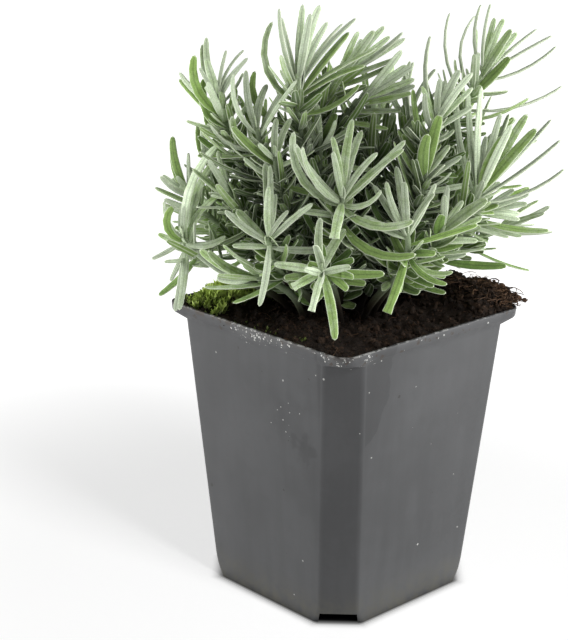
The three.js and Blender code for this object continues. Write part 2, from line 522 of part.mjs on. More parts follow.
function plan() {
  const lines = SHOOTS.map(stemLine);
  const marks = lines.map((line) => {
    const points = [];
    for (let i = 0; i + 1 < line.length; i++)
      for (let k = 0; k < 3; k++) points.push(plus(line[i], times(less(line[i + 1], line[i]), k / 3)));
    return points.concat([line[line.length - 1]]);
  });
  const kept = SHOOTS.map(() => []);

  function fits(own, leaf) {
    const s = samplesOf(leaf);
    if (!overPot(s.points)) return null;
    for (let o = 0; o < SHOOTS.length; o++) {
      if (o === own) {
        if (kept[o].some((other) => clash(s.outer, other.outer, CLEAR.own))) return null;
        continue;
      }
      const near = marks[o].filter((p) => squared(p, s.centre) < (s.radius + CLEAR.stem) ** 2);
      if (clash(s.points, near, CLEAR.stem)) return null;
      for (const other of kept[o])
        if (
          squared(s.centre, other.centre) < (s.radius + other.radius + CLEAR.leaf) ** 2 &&
          clash(s.points, other.points, CLEAR.leaf)
        )
          return null;
    }
    return { leaf, ...s };
  }

  // The leaves read from the front come first, so they keep their places; a turn toward the front
  // or the rear, or a shorter blade, bends one clear of its neighbours.
  const bends = [
    [0, 1], [10, 1], [-10, 1], [20, 1], [-20, 1], [0, 0.88], [30, 1], [-30, 1], [15, 0.88], [-15, 0.88],
    [0, 0.75], [30, 0.8], [-30, 0.8],
  ];
  SHOOTS.forEach((shoot, i) => {
    for (const [clock, end, toward, length, ...rest] of shoot.leaves ?? [])
      for (const [turn, share] of bends) {
        const got = fits(i, frontLeaf(lines[i], [clock, end, toward + turn, length * share, ...rest]));
        if (got) {
          kept[i].push(got);
          break;
        }
      }
  });

  // Then pairs by rule, each turned a quarter from the last, down to the old leaves near the soil.
  const shifts = [
    [0, 0, 1], [9, 0, 1], [-9, 0, 1], [0, -10, 1], [0, 10, 1], [18, 0, 0.9], [-18, 0, 0.9],
    [0, -20, 0.85], [0, 0, 0.7],
  ];
  SHOOTS.forEach((shoot, i) => {
    const draw = seeded(shoot.seed);
    const total = lengthOf(lines[i]);
    for (let k = 0, distance = 0.8; distance < total - 22; k++, distance += 1.6 + 1.24 * Math.min(k, 5)) {
      const young = Math.min(k, 7);
      const seat = back(lines[i], distance);
      for (const side of [0, 180]) {
        const j = Array.from({ length: 7 }, draw);
        if (k >= shoot.pairs && j[6] > 0.1) continue;
        for (const [dc, ds, share] of shifts) {
          const leaf = ringLeaf(
            seat,
            shoot.phase + 90 * k + side + 14 * j[0] + dc,
            Math.min(100, OPEN[young] + 7 * j[1]) + ds,
            shoot.length * SIZE[young] * (1 + 0.12 * j[2]) * share,
            CURL[young] + 16 * j[3],
            12 * j[4],
            35 * j[5],
            3.2 * (0.8 + 0.2 * SIZE[young]),
          );
          const reach = less(leaf.points[LEAF.steps], leaf.points[0]).normalize();
          const first = share === 1 && dc === 0 && ds === 0;
          if (first && shoot.leaves && k <= shoot.pairs && reach.dot(TOWARD) > -0.1) break;
          const got = overSkirt(leaf) && fits(i, leaf);
          if (got) {
            kept[i].push(got);
            break;
          }
        }
      }
    }
  });
  const leavesOf = (i) => kept[i].map((each) => each.leaf);
  return SHOOTS.map((shoot, i) => ({ name: shoot.name, line: lines[i], leaves: leavesOf(i) }));
}

// ---- solids of stems and leaves --------------------------------------------------------------

// A blade as a keeled strip: flat above, ridged below, with a blunt tip.
function bladeSolid(leaf) {
  const straight = leaf.points[0].distanceTo(leaf.points[LEAF.steps]) / leaf.length;
  const bent = straight > 0.9 ? [0, 9, 17] : straight > 0.75 ? [0, 7, 13, 18] : [0, 5, 10, 14, 18];
  const stops = leaf.length < 14 && straight > 0.9 ? [0, 13] : bent;
  const rings = stops.map((i) => {
    const half = (breadth(i / LEAF.steps) * leaf.width) / 2;
    const thick = LEAF.thick * (i ? 1 : 0.9);
    const p = leaf.points[i];
    return [
      plus(p, times(leaf.across[i], half)).add(times(leaf.up[i], 0.2)),
      plus(p, times(leaf.across[i], -half)).add(times(leaf.up[i], 0.2)),
      plus(p, times(leaf.up[i], 0.2 - thick)),
    ];
  });
  const end = plus(leaf.points[LEAF.steps], times(leaf.up[LEAF.steps], -0.1));
  const made = tube(rings, null, end);
  return solid(made);
}

// A stem along its line, or with some width added the hole that it stands in.
function stemTube(line, wide = 0, stops = [0, 8, 14, 20, 24]) {
  const rings = stops.map((i) => {
    const before = line[Math.max(0, i - 1)];
    const after = line[Math.min(line.length - 1, i + 1)];
    const d = less(after, before).normalize();
    const a = crossed(d, ACROSS).normalize();
    const b = crossed(d, a);
    const r = STEM.foot + ((STEM.top - STEM.foot) * i) / 24 + wide;
    return Array.from({ length: STEM.sides }, (_, k) =>
      plus(line[i], times(a, r * Math.cos((2 * Math.PI * k) / STEM.sides))).add(
        times(b, r * Math.sin((2 * Math.PI * k) / STEM.sides)),
      ),
    );
  });
  const end = stops[stops.length - 1];
  return tube(rings, null, end === 24 ? back(line, -1.2)[0] : null);
}

function soilSolid(lines) {
  const rings = [];
  const base = POT.plate + POT.wall + GAP;
  const shoulder = MOUTH_Z - 2;
  const flat = outline(shoulder, outerHalf(shoulder) - POT.wall - GAP - 0.15, innerLeg(shoulder) + 0.2);
  rings.push(outline(base, outerHalf(5) - POT.wall - 1.3, innerLeg(5) + 0.6));
  rings.push(flat);
  for (const share of [1, 0.84, 0.6, 0.3]) {
    rings.push(
      flat.map((p) => {
        const [x, y] = [p.x * share, p.y * share];
        const z = soilTop(x, y);
        return vec(x, y, share === 1 ? Math.min(z, POT.height + 0.8) : z);
      }),
    );
  }
  let body = solid(tube(rings, vec(0, 0, base), vec(0, 0, soilTop(0, 0))));
  for (const line of lines) {
    const hole = stemTube([plus(line[0], vec(0, 0, -GAP)), ...line.slice(1)], GAP * 1.5, [0, 8]);
    hole.points.forEach((p) => p.applyMatrix4(toPot));
    body = body.subtract(solid(hole));
  }
  return body;
}

// ---- the object ------------------------------------------------------------------------------

const toPot = new THREE.Matrix4().makeRotationZ(rad(TURN));
const plants = plan();

function mesh(name, made, color, roughness) {
  const item = new THREE.Mesh(
    geometryOf(made),
    new THREE.MeshStandardMaterial({ color, roughness, metalness: 0, flatShading: true }),
  );
  item.name = name;
  return item;
}

const model = new THREE.Group();
model.add(mesh("pot", potSolid(), 0x55585a, 0.45));
model.add(mesh("soil", largest(soilSolid(plants.map((p) => p.line))), 0x241a14, 1));
for (const { name, line, leaves } of plants) {
  const made = largest(joined([solid(stemTube(line)), ...leaves.map(bladeSolid)]));
  const item = mesh("sprig_" + name, made, 0x93a68e, 0.85);
  item.geometry.applyMatrix4(toPot);
  model.add(item);
}

// The origin is the middle of the base of the whole object's box.
const box = new THREE.Box3().setFromObject(model);
model.position.set(-(box.min.x + box.max.x) / 2, -(box.min.y + box.max.y) / 2, -box.min.z);

export default model;
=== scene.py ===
"""A young lavender in a square nursery pot: the pot, its peat and moss, the leafy shoots and a studio."""

import json
import math

import bmesh
import bpy
import numpy as np
from bpy.props import FloatProperty, FloatVectorProperty, IntProperty, PointerProperty
from mathutils import Euler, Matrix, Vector, noise

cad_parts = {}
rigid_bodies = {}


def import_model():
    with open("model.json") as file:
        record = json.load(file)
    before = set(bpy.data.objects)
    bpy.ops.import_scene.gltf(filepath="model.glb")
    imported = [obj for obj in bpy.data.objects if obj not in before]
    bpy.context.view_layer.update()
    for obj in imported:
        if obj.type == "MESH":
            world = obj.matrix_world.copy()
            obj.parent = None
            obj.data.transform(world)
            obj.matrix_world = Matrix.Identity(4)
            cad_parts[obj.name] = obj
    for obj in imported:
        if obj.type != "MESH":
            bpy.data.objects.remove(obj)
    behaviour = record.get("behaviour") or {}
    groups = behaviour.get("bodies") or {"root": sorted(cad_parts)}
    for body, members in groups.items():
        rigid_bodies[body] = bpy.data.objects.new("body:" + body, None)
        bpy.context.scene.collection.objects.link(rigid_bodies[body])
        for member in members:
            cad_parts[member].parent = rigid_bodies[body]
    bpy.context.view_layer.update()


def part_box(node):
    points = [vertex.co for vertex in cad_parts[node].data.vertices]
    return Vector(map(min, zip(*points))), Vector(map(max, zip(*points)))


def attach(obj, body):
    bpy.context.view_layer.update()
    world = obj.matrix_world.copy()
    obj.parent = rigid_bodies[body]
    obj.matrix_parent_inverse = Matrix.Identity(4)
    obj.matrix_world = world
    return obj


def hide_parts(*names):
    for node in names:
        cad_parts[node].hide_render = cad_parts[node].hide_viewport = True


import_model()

bl_info = {
    "name": "Potted lavender",
    "version": (1, 0, 0),
    "blender": (4, 5, 0),
    "location": "View3D > Sidebar > Lavender",
    "description": "Builds a young lavender in a square nursery pot",
    "category": "Add Mesh",
}

POT_LOW, POT_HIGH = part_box("pot")
AXIS = Vector(((POT_LOW.x + POT_HIGH.x) / 2, (POT_LOW.y + POT_HIGH.y) / 2, 0.0))
HEIGHT = POT_HIGH.z
RIM = (POT_HIGH.x - POT_LOW.x) / 2
MM = 0.001
ROOT = "root"

# ---- settings ------------------------------------------------------------------------------


def metres(name, description, default):
    return FloatProperty(name=name, description=description, default=default, unit="LENGTH", precision=5)


def angle(name, description, degrees):
    return FloatProperty(name=name, description=description, default=math.radians(degrees), subtype="ANGLE")


def tint(name, description, default):
    return FloatVectorProperty(
        name=name, description=description, default=default, subtype="COLOR", size=3, min=0, max=1
    )


def number(name, description, default):
    return FloatProperty(name=name, description=description, default=default)


def count(name, description, default):
    return IntProperty(name=name, description=description, default=default, min=0)


class PotSettings(bpy.types.PropertyGroup):
    foot: metres("Foot", "Half width of the pot at the floor", 0.0358)
    mouth: metres("Mouth", "Half width just under the rim band", 0.0437)
    band: metres("Rim band", "Height of the band round the rim", 0.0034)
    shoulder: metres("Shoulder", "Slope under the band at the corners", 0.0016)
    wall: metres("Wall", "Thickness of the plastic", 0.0011)
    chamfer_foot: metres("Chamfer at foot", "Leg of the corner chamfer above the foot", 0.0092)
    chamfer_mouth: metres("Chamfer at mouth", "Leg of the corner chamfer under the rim", 0.0091)
    tuck: metres("Tuck", "Extra chamfer where the corners curve in at the foot", 0.0024)
    rim_radius: metres("Rim radius", "Radius of the rim's corners", 0.0058)
    soft: metres("Softness", "Rounding of the chamfer's edges", 0.0012)
    plate: metres("Floor height", "Underside of the pot's floor above the feet", 0.0032)
    notch: metres("Notch", "Height of the drainage notch in each corner", 0.004)
    drain: metres("Drain", "Radius of the drain holes", 0.003)
    drain_place: metres("Drain place", "From the pot's axis to each drain hole", 0.022)
    colour: tint("Plastic", "Colour of the plastic", (0.047, 0.048, 0.050))
    lime: tint("Lime", "Colour of the lime and dust on the plastic", (0.60, 0.60, 0.57))


class PeatSettings(bpy.types.PropertyGroup):
    crumbs: count("Crumbs", "Number of loose crumbs of peat", 3600)
    fibres: count("Fibres", "Number of loose fibres and fine roots", 460)
    moss: count("Moss shoots", "Number of moss shoots", 640)
    colour: tint("Peat", "Colour of the damp peat", (0.0085, 0.0060, 0.0046))
    fibre: tint("Fibre", "Colour of the fibres and dry crumbs", (0.105, 0.060, 0.035))
    leaf: tint("Moss", "Colour of the moss", (0.470, 0.640, 0.100))


class PlantSettings(bpy.types.PropertyGroup):
    blade: metres("Blade", "Thickness of a leaf over its keel", 0.00085)
    stem_foot: metres("Stem at root", "Half thickness of a stem at its root", 0.00125)
    stem_tip: metres("Stem at tip", "Half thickness of a stem at its tip", 0.00105)
    felt: tint("Felt", "Colour of the silvery felt on young leaves", (0.520, 0.605, 0.440))
    green: tint("Green", "Colour of the older leaves", (0.225, 0.345, 0.092))
    deep: tint("Deep green", "Colour of the oldest leaves, far in", (0.095, 0.175, 0.032))
    margin: tint("Margin", "Colour of the rolled edges of the leaves", (0.660, 0.720, 0.560))
    bark: tint("Bark", "Colour of the woody foot of a stem", (0.090, 0.062, 0.040))


class StudioSettings(bpy.types.PropertyGroup):
    distance: metres("Distance", "From the camera to the middle of the pot", 0.62104)
    middle: metres("Middle", "Height of the point that the distance is measured to", 0.060)
    aim: metres("Aim height", "Height that the camera points at", 0.097022)
    aside: metres("Aim aside", "How far to the left of the pot's axis the camera points", 0.021134)
    azimuth: angle("Azimuth", "Angle of the camera round the pot", 44.403)
    elevation: angle("Elevation", "Angle of the camera over the floor", 20.824)
    roll: angle("Roll", "Turn of the camera about its own line of sight", -0.616)
    lens: number("Lens", "Focal length in millimetres", 96.04)
    floor: tint("Floor", "Colour of the floor", (0.80, 0.80, 0.80))
    glow: number("Floor glow", "Even brightness of the floor round the pot", 0.70)
    lamp: number("Lamp", "Power in watts of the light that throws the shadow", 6.0)
    right: number("Right light", "Power in watts of the light on the right", 3.6)
    left: number("Left light", "Power in watts of the light on the left", 3.3)
    top: number("Top light", "Power in watts of the light above and behind", 2.5)
    sky: number("Sky", "Strength of the even light from all round", 0.10)


# ---- modelling helpers -----------------------------------------------------------------------


def clear_selection():
    """Leaves edit mode and deselects every object."""
    if bpy.context.object and bpy.context.object.mode != "OBJECT":
        bpy.ops.object.mode_set(mode="OBJECT")
    bpy.ops.object.select_all(action="DESELECT")


def take(piece):
    """Selects that piece alone and makes it the active one."""
    clear_selection()
    piece.select_set(True)
    bpy.context.view_layer.objects.active = piece


def edit(piece):
    """Goes into edit mode on that piece, with all of its mesh selected."""
    take(piece)
    bpy.ops.object.mode_set(mode="EDIT")
    bpy.ops.mesh.select_mode(type="VERT")
    bpy.ops.mesh.select_all(action="SELECT")


def pick(piece, test):
    """Selects the vertices that pass the test, in edit mode."""
    shape = bmesh.from_edit_mesh(piece.data)
    shape.verts.ensure_lookup_table()
    for vertex in shape.verts:
        vertex.select_set(bool(test(vertex)))
    shape.select_flush_mode()
    bmesh.update_edit_mesh(piece.data)


def cut_away(piece, cutter):
    """Takes the cutter out of the piece and removes it."""
    clear_selection()
    modifier = piece.modifiers.new("cut", "BOOLEAN")
    modifier.object = cutter
    modifier.solver = "EXACT"
    take(piece)
    bpy.ops.object.modifier_apply(modifier=modifier.name)
    bpy.data.objects.remove(cutter)


def settle(piece, name, slot, *materials, smooth=180.0):
    """Names a finished piece, puts its place in its mesh, and ties it to the frame."""
    take(piece)
    piece.name = piece.data.name = name
    bpy.ops.object.transform_apply(location=True, rotation=True, scale=True)
    bpy.ops.object.shade_smooth_by_angle(angle=math.radians(smooth))
    for material in materials:
        piece.data.materials.append(material)
    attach(piece, ROOT)
    return piece


class Template:
    """The points and faces of a piece that is modelled once and then copied, bent or placed."""

    def __init__(self, piece):
        clear_selection()
        mesh = piece.data
        self.points = np.array([v.co for v in mesh.vertices], float)
        self.faces = [tuple(p.vertices) for p in mesh.polygons]
        bpy.data.objects.remove(piece)
        bpy.data.meshes.remove(mesh)


class Heap:
    """Copies of templates gathered into one mesh, with values for the materials at each point."""

    def __init__(self):
        self.points, self.faces, self.kinds, self.values, self.count = [], [], [], {}, 0

    def add(self, points, faces, kind=0, **values):
        self.points.append(points)
        self.faces += [tuple(i + self.count for i in face) for face in faces]
        self.kinds += [kind] * len(faces)
        for key, value in values.items():
            self.values.setdefault(key, []).append(np.broadcast_to(value, len(points)))
        self.count += len(points)

    def piece(self, name, slot, *materials, smooth=180.0):
        """The finished piece, tied to the frame."""
        mesh = bpy.data.meshes.new(name)
        mesh.from_pydata(np.concatenate(self.points).tolist(), [], self.faces)
        for key, parts in self.values.items():
            layer = mesh.attributes.new(key, "FLOAT", "POINT")
            layer.data.foreach_set("value", np.concatenate(parts).astype(np.float32))
        mesh.polygons.foreach_set("material_index", self.kinds)
        piece = bpy.data.objects.new(name, mesh)
        bpy.context.scene.collection.objects.link(piece)
        return settle(piece, name, slot, *materials, smooth=smooth)


def prism(sides, stations):
    """A prism of unit radius along +Y, cut across at the stations, which run from 0 to 1."""
    clear_selection()
    bpy.ops.mesh.primitive_cylinder_add(
        vertices=sides, radius=1, depth=1, end_fill_type="NGON",
        location=(0, 0.5, 0), rotation=(-math.pi / 2, 0, 0),
    )
    piece = bpy.context.object
    bpy.ops.object.transform_apply(location=True, rotation=True, scale=True)
    edit(piece)
    for station in stations[1:-1]:
        bpy.ops.mesh.select_all(action="SELECT")
        bpy.ops.mesh.bisect(plane_co=(0, station, 0), plane_no=(0, 1, 0))
    return piece


def bend(points, path, across, up, half, thick):
    """A template's points laid along a path: X across it by half, Z up from it by thick."""
    at = points[:, 1] * (len(path) - 1)
    low = np.clip(at.astype(int), 0, len(path) - 2)
    share = (at - low)[:, None]

    def between(values):
        return values[low] * (1 - share) + values[low + 1] * share

    x = points[:, 0] * half
    z = points[:, 2] * thick
    return between(path) + between(across) * x[:, None] + between(up) * z[:, None]


# ---- materials -------------------------------------------------------------------------------


class Wiring:
    """Short calls that add nodes to a tree and link them."""

    def __init__(self, tree):
        self.tree = tree

    def feed(self, socket, value):
        if isinstance(value, bpy.types.NodeSocket):
            self.tree.links.new(value, socket)
        elif socket.type == "RGBA" and len(value) == 3:
            socket.default_value = (*value, 1)
        else:
            socket.default_value = value

    def node(self, kind, inputs, **settings):
        made = self.tree.nodes.new(kind)
        for key, value in settings.items():
            setattr(made, key, value)
        for key, value in inputs.items():
            self.feed(made.inputs[key], value)
        return made

    def group(self, tree, **inputs):
        return self.node("ShaderNodeGroup", inputs, node_tree=tree).outputs

    def math(self, operation, a, b=0.0):
        return self.node("ShaderNodeMath", {0: a, 1: b}, operation=operation).outputs[0]

    def chain(self, operation, values):
        """One operation carried through all of the values."""
        result = values[0]
        for value in values[1:]:
            result = self.math(operation, result, value)
        return result

    def plus(self, *values):
        return self.chain("ADD", values)

    def minus(self, a, b):
        return self.math("SUBTRACT", a, b)

    def times(self, *values):
        return self.chain("MULTIPLY", values)

    def most(self, *values):
        return self.chain("MAXIMUM", values)

    def unsigned(self, value):
        return self.math("ABSOLUTE", value)

    def length(self, vector):
        return self.node("ShaderNodeVectorMath", {0: vector}, operation="LENGTH").outputs["Value"]

    def span(self, value, low, high, start=0.0, end=1.0):
        """The value carried smoothly from low..high to start..end, and held there."""
        inputs = {"Value": value, "From Min": low, "From Max": high, "To Min": start, "To Max": end}
        return self.node("ShaderNodeMapRange", inputs, interpolation_type="SMOOTHSTEP").outputs[0]

    def mix(self, share, a, b, blend="MIX"):
        inputs = {0: share, 6: a, 7: b}
        return self.node("ShaderNodeMix", inputs, data_type="RGBA", blend_type=blend).outputs[2]

    def shade(self, colour, amount):
        """The colour made lighter or darker by an amount, where 1 leaves it alone."""
        grey = self.node("ShaderNodeCombineColor", {0: amount, 1: amount, 2: amount}).outputs[0]
        return self.mix(1.0, colour, grey, "MULTIPLY")

    def dim(self, colour, mask, amount):
        """The colour brought down to that amount of itself where the mask is 1."""
        return self.shade(colour, self.span(mask, 0, 1, 1.0, amount))

    def noise(self, place, scale, detail=3.0, roughness=0.55):
        inputs = {"Vector": place, "Scale": scale, "Detail": detail, "Roughness": roughness}
        return self.node("ShaderNodeTexNoise", inputs).outputs[0]

    def wander(self, place, scale, detail, amount):
        """A noise round zero, by which the edge of a patch wanders."""
        return self.times(self.minus(self.noise(place, scale, detail), 0.5), amount)

    def speck_mask(self, place, scale, size, share):
        return self.group(specks(), Vector=place, Scale=scale, Size=size, Share=share)["Mask"]

    def value(self, name):
        return self.node("ShaderNodeAttribute", {}, attribute_name=name).outputs["Fac"]

    def place(self, centre=(0, 0, 0), scale=(1, 1, 1)):
        """Object coordinates measured from a centre, with each axis stretched by its scale."""
        here = self.node("ShaderNodeTexCoord", {}).outputs["Object"]
        shift = tuple(-c * s for c, s in zip(centre, scale))
        inputs = {"Vector": here, "Location": shift, "Scale": scale}
        return self.node("ShaderNodeMapping", inputs).outputs[0]

    def axes(self, vector):
        return self.node("ShaderNodeSeparateXYZ", {0: vector}).outputs

    def bump(self, height, strength, distance):
        inputs = {"Height": height, "Strength": strength, "Distance": distance}
        return self.node("ShaderNodeBump", inputs).outputs[0]


def node_group(name, inputs, outputs, build):
    """A node group, made once. Its build function returns the value of each output."""
    tree = bpy.data.node_groups.get(name)
    if tree:
        return tree
    tree = bpy.data.node_groups.new(name, "ShaderNodeTree")
    for key, kind, default in inputs:
        socket = tree.interface.new_socket(key, in_out="INPUT", socket_type=kind)
        if default is not None:
            socket.default_value = default
    for key, kind in outputs:
        tree.interface.new_socket(key, in_out="OUTPUT", socket_type=kind)
    w = Wiring(tree)
    given = w.node("NodeGroupInput", {}).outputs
    w.node("NodeGroupOutput", build(w, given))
    return tree


def mottle():
    """Soft blotches from 0 to 1, and a finer grain of the same kind."""

    def build(w, given):
        coarse = w.noise(given["Vector"], given["Scale"], 2.0)
        fine = w.noise(given["Vector"], w.times(given["Scale"], 6.0), 4.0, 0.65)
        both = w.plus(w.times(coarse, 0.6), w.times(fine, 0.4))
        return {"Blotches": w.span(both, 0.34, 0.66), "Grain": w.span(fine, 0.3, 0.7)}

    inputs = [("Vector", "NodeSocketVector", None), ("Scale", "NodeSocketFloat", 50.0)]
    outputs = [("Blotches", "NodeSocketFloat"), ("Grain", "NodeSocketFloat")]
    return node_group("Mottle", inputs, outputs, build)


def specks():
    """Scattered specks of uneven size and shape: 1 on a speck and 0 between them."""

    def build(w, given):
        wobble = w.noise(given["Vector"], w.times(given["Scale"], 2.2), 2.0)
        inputs = {"Vector": given["Vector"], "Scale": given["Scale"]}
        cells = w.node("ShaderNodeTexVoronoi", inputs).outputs
        draw = w.axes(cells["Color"])
        uneven = w.span(wobble, 0.35, 0.65, 0.3, 1.0)
        reach = w.times(w.span(draw[1], 0.0, 1.0, 0.2, 1.0), uneven, given["Size"])
        inside = w.math("LESS_THAN", cells["Distance"], reach)
        return {"Mask": w.times(inside, w.math("LESS_THAN", draw[0], given["Share"]))}

    inputs = [
        ("Vector", "NodeSocketVector", None),
        ("Scale", "NodeSocketFloat", 500.0),
        ("Size", "NodeSocketFloat", 0.6),
        ("Share", "NodeSocketFloat", 0.2),
    ]
    return node_group("Specks", inputs, [("Mask", "NodeSocketFloat")], build)


def new_material(name, **sockets):
    """A Principled material with those constant values, and the wiring to its tree."""
    material = bpy.data.materials.new(name)
    material.use_nodes = True
    w = Wiring(material.node_tree)
    shader = next(n for n in material.node_tree.nodes if n.type == "BSDF_PRINCIPLED")
    for key, value in sockets.items():
        w.feed(shader.inputs[key.replace("_", " ")], value)
    return material, w, shader.inputs


# Marks on the plastic, in metres from the pot's axis.
SMUDGE = Vector((0.0235, -0.0405, 0.0655))
SPLASH = Vector((0.016, -0.042, 0.077))
LIMED_STRETCH = 0.003  # x of the middle of the limed stretch of the left rim
CHAMFER, CHAMFER_SPREAD = 0.0624, 0.16  # x + y on a chamfer at the floor, and its growth with height
SOIL_BROWN = (0.030, 0.018, 0.010)
CRUST_BROWN = (0.035, 0.024, 0.015)
FOOT_GRIME = (0.085, 0.080, 0.055)
DIRT = (0.018, 0.015, 0.012)


def wet_marks(w, here, cut):
    """Where the plastic is darker: a damp patch that runs down from the rim on the right side, and a
    smudge on the left side."""
    x, y, z = w.axes(here)
    reach = w.times(w.math("POWER", w.span(z, 0.060, 0.090), 0.6), 0.0155)
    edge = w.plus(w.minus(w.plus(y, 0.0362), reach), w.wander(here, 90.0, 2.0, 0.009))
    on_side = w.times(w.span(x, 0.030, 0.032), w.span(cut, -0.002, -0.001, 1, 0))
    patch = w.times(w.span(edge, -0.0006, 0.0006, 1.0, 0.0), on_side)
    smudge = w.plus(w.length(w.place(AXIS + SMUDGE, (1, 1, 0.7))), w.wander(here, 150.0, 3.0, 0.016))
    return w.most(patch, w.span(smudge, 0.002, 0.0055, 1.0, 0.0))


def lime_marks(w, here):
    """How dusty the plastic is, and its specks of lime: thick on a stretch of the left rim and at the
    front corner, a splash on the left side, and a few anywhere."""
    x, y, z = w.axes(here)
    left_side = w.span(y, -RIM + 0.014, -RIM + 0.004, 0.0, 1.0)
    from_middle = w.unsigned(w.minus(x, LIMED_STRETCH))
    stretch = w.times(left_side, w.span(from_middle, 0.010, 0.019, 1.0, 0.08))
    corner = w.span(w.minus(x, y), 0.072, 0.080)
    anywhere = w.times(w.span(z, HEIGHT - 0.013, HEIGHT - 0.001), 0.05)
    high = w.span(z, HEIGHT - 0.0065, HEIGHT - 0.001, 0.0, 1.3)
    patches = w.span(w.noise(here, 110.0, 2.0), 0.40, 0.60)
    dusty = w.times(high, w.most(stretch, corner, anywhere), patches)
    fine = w.speck_mask(here, 1250.0, 0.62, w.times(dusty, 0.75))
    large = w.speck_mask(here, 620.0, 0.5, w.times(dusty, 0.42))
    splash = w.length(w.place(AXIS + SPLASH))
    loose = w.speck_mask(here, 560.0, 0.26, w.span(splash, 0.003, 0.011, 0.42, 0.013))
    return dusty, w.most(fine, large, w.times(loose, 0.7))


def nursery_plastic(look):
    """Dull dark plastic: faint blotches and flow streaks, lime and soil near the rim, grime at the foot."""
    material, w, shader = new_material("nursery_plastic", Specular_IOR_Level=0.42)
    here = w.place(AXIS)
    x, y, z = w.axes(here)
    soft = w.group(mottle(), Vector=here, Scale=32.0)
    streaks = w.noise(w.place(AXIS, (1, 1, 0.06)), 160.0, 3.0)
    colour = w.shade(look.colour, w.span(soft["Blotches"], 0, 1, 0.90, 1.14))
    colour = w.shade(colour, w.span(streaks, 0.3, 0.7, 0.94, 1.06))

    spread = w.plus(w.unsigned(x), w.unsigned(y))
    cut = w.minus(spread, w.plus(w.times(z, CHAMFER_SPREAD), CHAMFER))
    # Painted shade: the chamfer faces at the corners are darkened.
    colour = w.shade(colour, w.span(cut, -0.0014, -0.0002, 1.0, 0.86))
    colour = w.dim(colour, wet_marks(w, here, cut), 0.74)

    dusty, lime = lime_marks(w, here)
    dark = w.speck_mask(w.place(AXIS + Vector((3, 2, 1))), 260.0, 0.2, 0.07)
    soiled = w.times(w.span(z, HEIGHT - 0.006, HEIGHT), 0.22)
    soil = w.speck_mask(w.place(AXIS + Vector((5, 1, 2))), 520.0, 0.7, soiled)
    for mask, coat in (
        (w.times(w.span(z, 0.0, 0.016, 0.55, 0.0), soft["Grain"]), FOOT_GRIME),
        (w.times(dusty, 0.04), look.lime),
        (w.times(lime, 0.85), look.lime),
        (w.times(dark, 0.75), DIRT),
        (w.times(soil, 0.8), SOIL_BROWN),
    ):
        colour = w.mix(mask, colour, coat)

    lip = w.span(z, HEIGHT - 0.0006, HEIGHT - 0.0002)
    # Painted shade on the top of the rim, which faces up.
    colour = w.dim(colour, lip, 0.62)
    left_side = w.span(y, -RIM + 0.010, -RIM + 0.004, 0.0, 1.0)
    toward_left = w.span(x, -0.012, -0.002, 1.0, 0.35)
    broken = w.span(w.noise(here, 300.0, 3.0), 0.42, 0.52)
    crust = w.times(w.span(z, HEIGHT - 0.0022, HEIGHT - 0.0006), broken)
    colour = w.mix(w.times(crust, left_side, toward_left, 0.9), colour, CRUST_BROWN)
    # A broken pale line in the lime's colour along the rim's top edge: a painted highlight.
    colour = w.mix(w.times(lip, w.span(w.noise(here, 420.0, 2.0), 0.50, 0.62), 0.22), colour, look.lime)
    w.feed(shader["Base Color"], colour)
    rough = w.span(soft["Grain"], 0, 1, 0.38, 0.50)
    w.feed(shader["Roughness"], w.most(w.times(lime, 0.9), rough))
    relief = w.plus(w.times(w.noise(here, 2600.0, 2.0), 0.5), w.times(lime, 1.5))
    w.feed(shader["Normal"], w.bump(relief, 0.25, 0.0001))
    return material


def damp_peat(look):
    """Damp peat: near black in the hollows, browner on the crumbs that stand out."""
    material, w, shader = new_material("damp_peat", Specular_IOR_Level=0.14)
    here = w.place(AXIS)
    soft = w.group(mottle(), Vector=here, Scale=130.0)
    dry = w.plus(w.times(soft["Blotches"], soft["Grain"], 0.16), w.value("dry"))
    colour = w.mix(dry, look.colour, look.fibre)
    colour = w.shade(colour, w.span(w.noise(here, 1900.0, 3.0), 0.3, 0.7, 0.55, 1.5))
    w.feed(shader["Base Color"], colour)
    w.feed(shader["Roughness"], w.span(soft["Grain"], 0, 1, 0.72, 0.95))
    relief = w.plus(w.noise(here, 620.0, 5.0, 0.7), w.times(w.noise(here, 2600.0, 3.0), 0.4))
    w.feed(shader["Normal"], w.bump(relief, 0.9, 0.0009))
    return material


MOSS_TIP = (0.50, 0.56, 0.20)
LEAF_FOOT = (0.42, 0.47, 0.26)
YOUNG_STEM = (0.290, 0.360, 0.230), (0.200, 0.270, 0.120)  # felted, and bare


def green_moss(look):
    """Moss: bright yellow green at its tips, dark at its foot, partly its own colour and partly painted
    shade in the cushion.
    """
    material, w, shader = new_material("moss_green", Roughness=0.6, Specular_IOR_Level=0.4)
    # Darker toward the foot of each shoot: partly the moss's own colour, partly painted shade down in the
    # cushion.
    colour = w.shade(look.leaf, w.span(w.value("along"), 0.1, 0.9, 0.16, 1.3))
    colour = w.mix(w.times(w.value("tone"), w.value("along"), 0.6), colour, MOSS_TIP)
    w.feed(shader["Base Color"], colour)
    return material


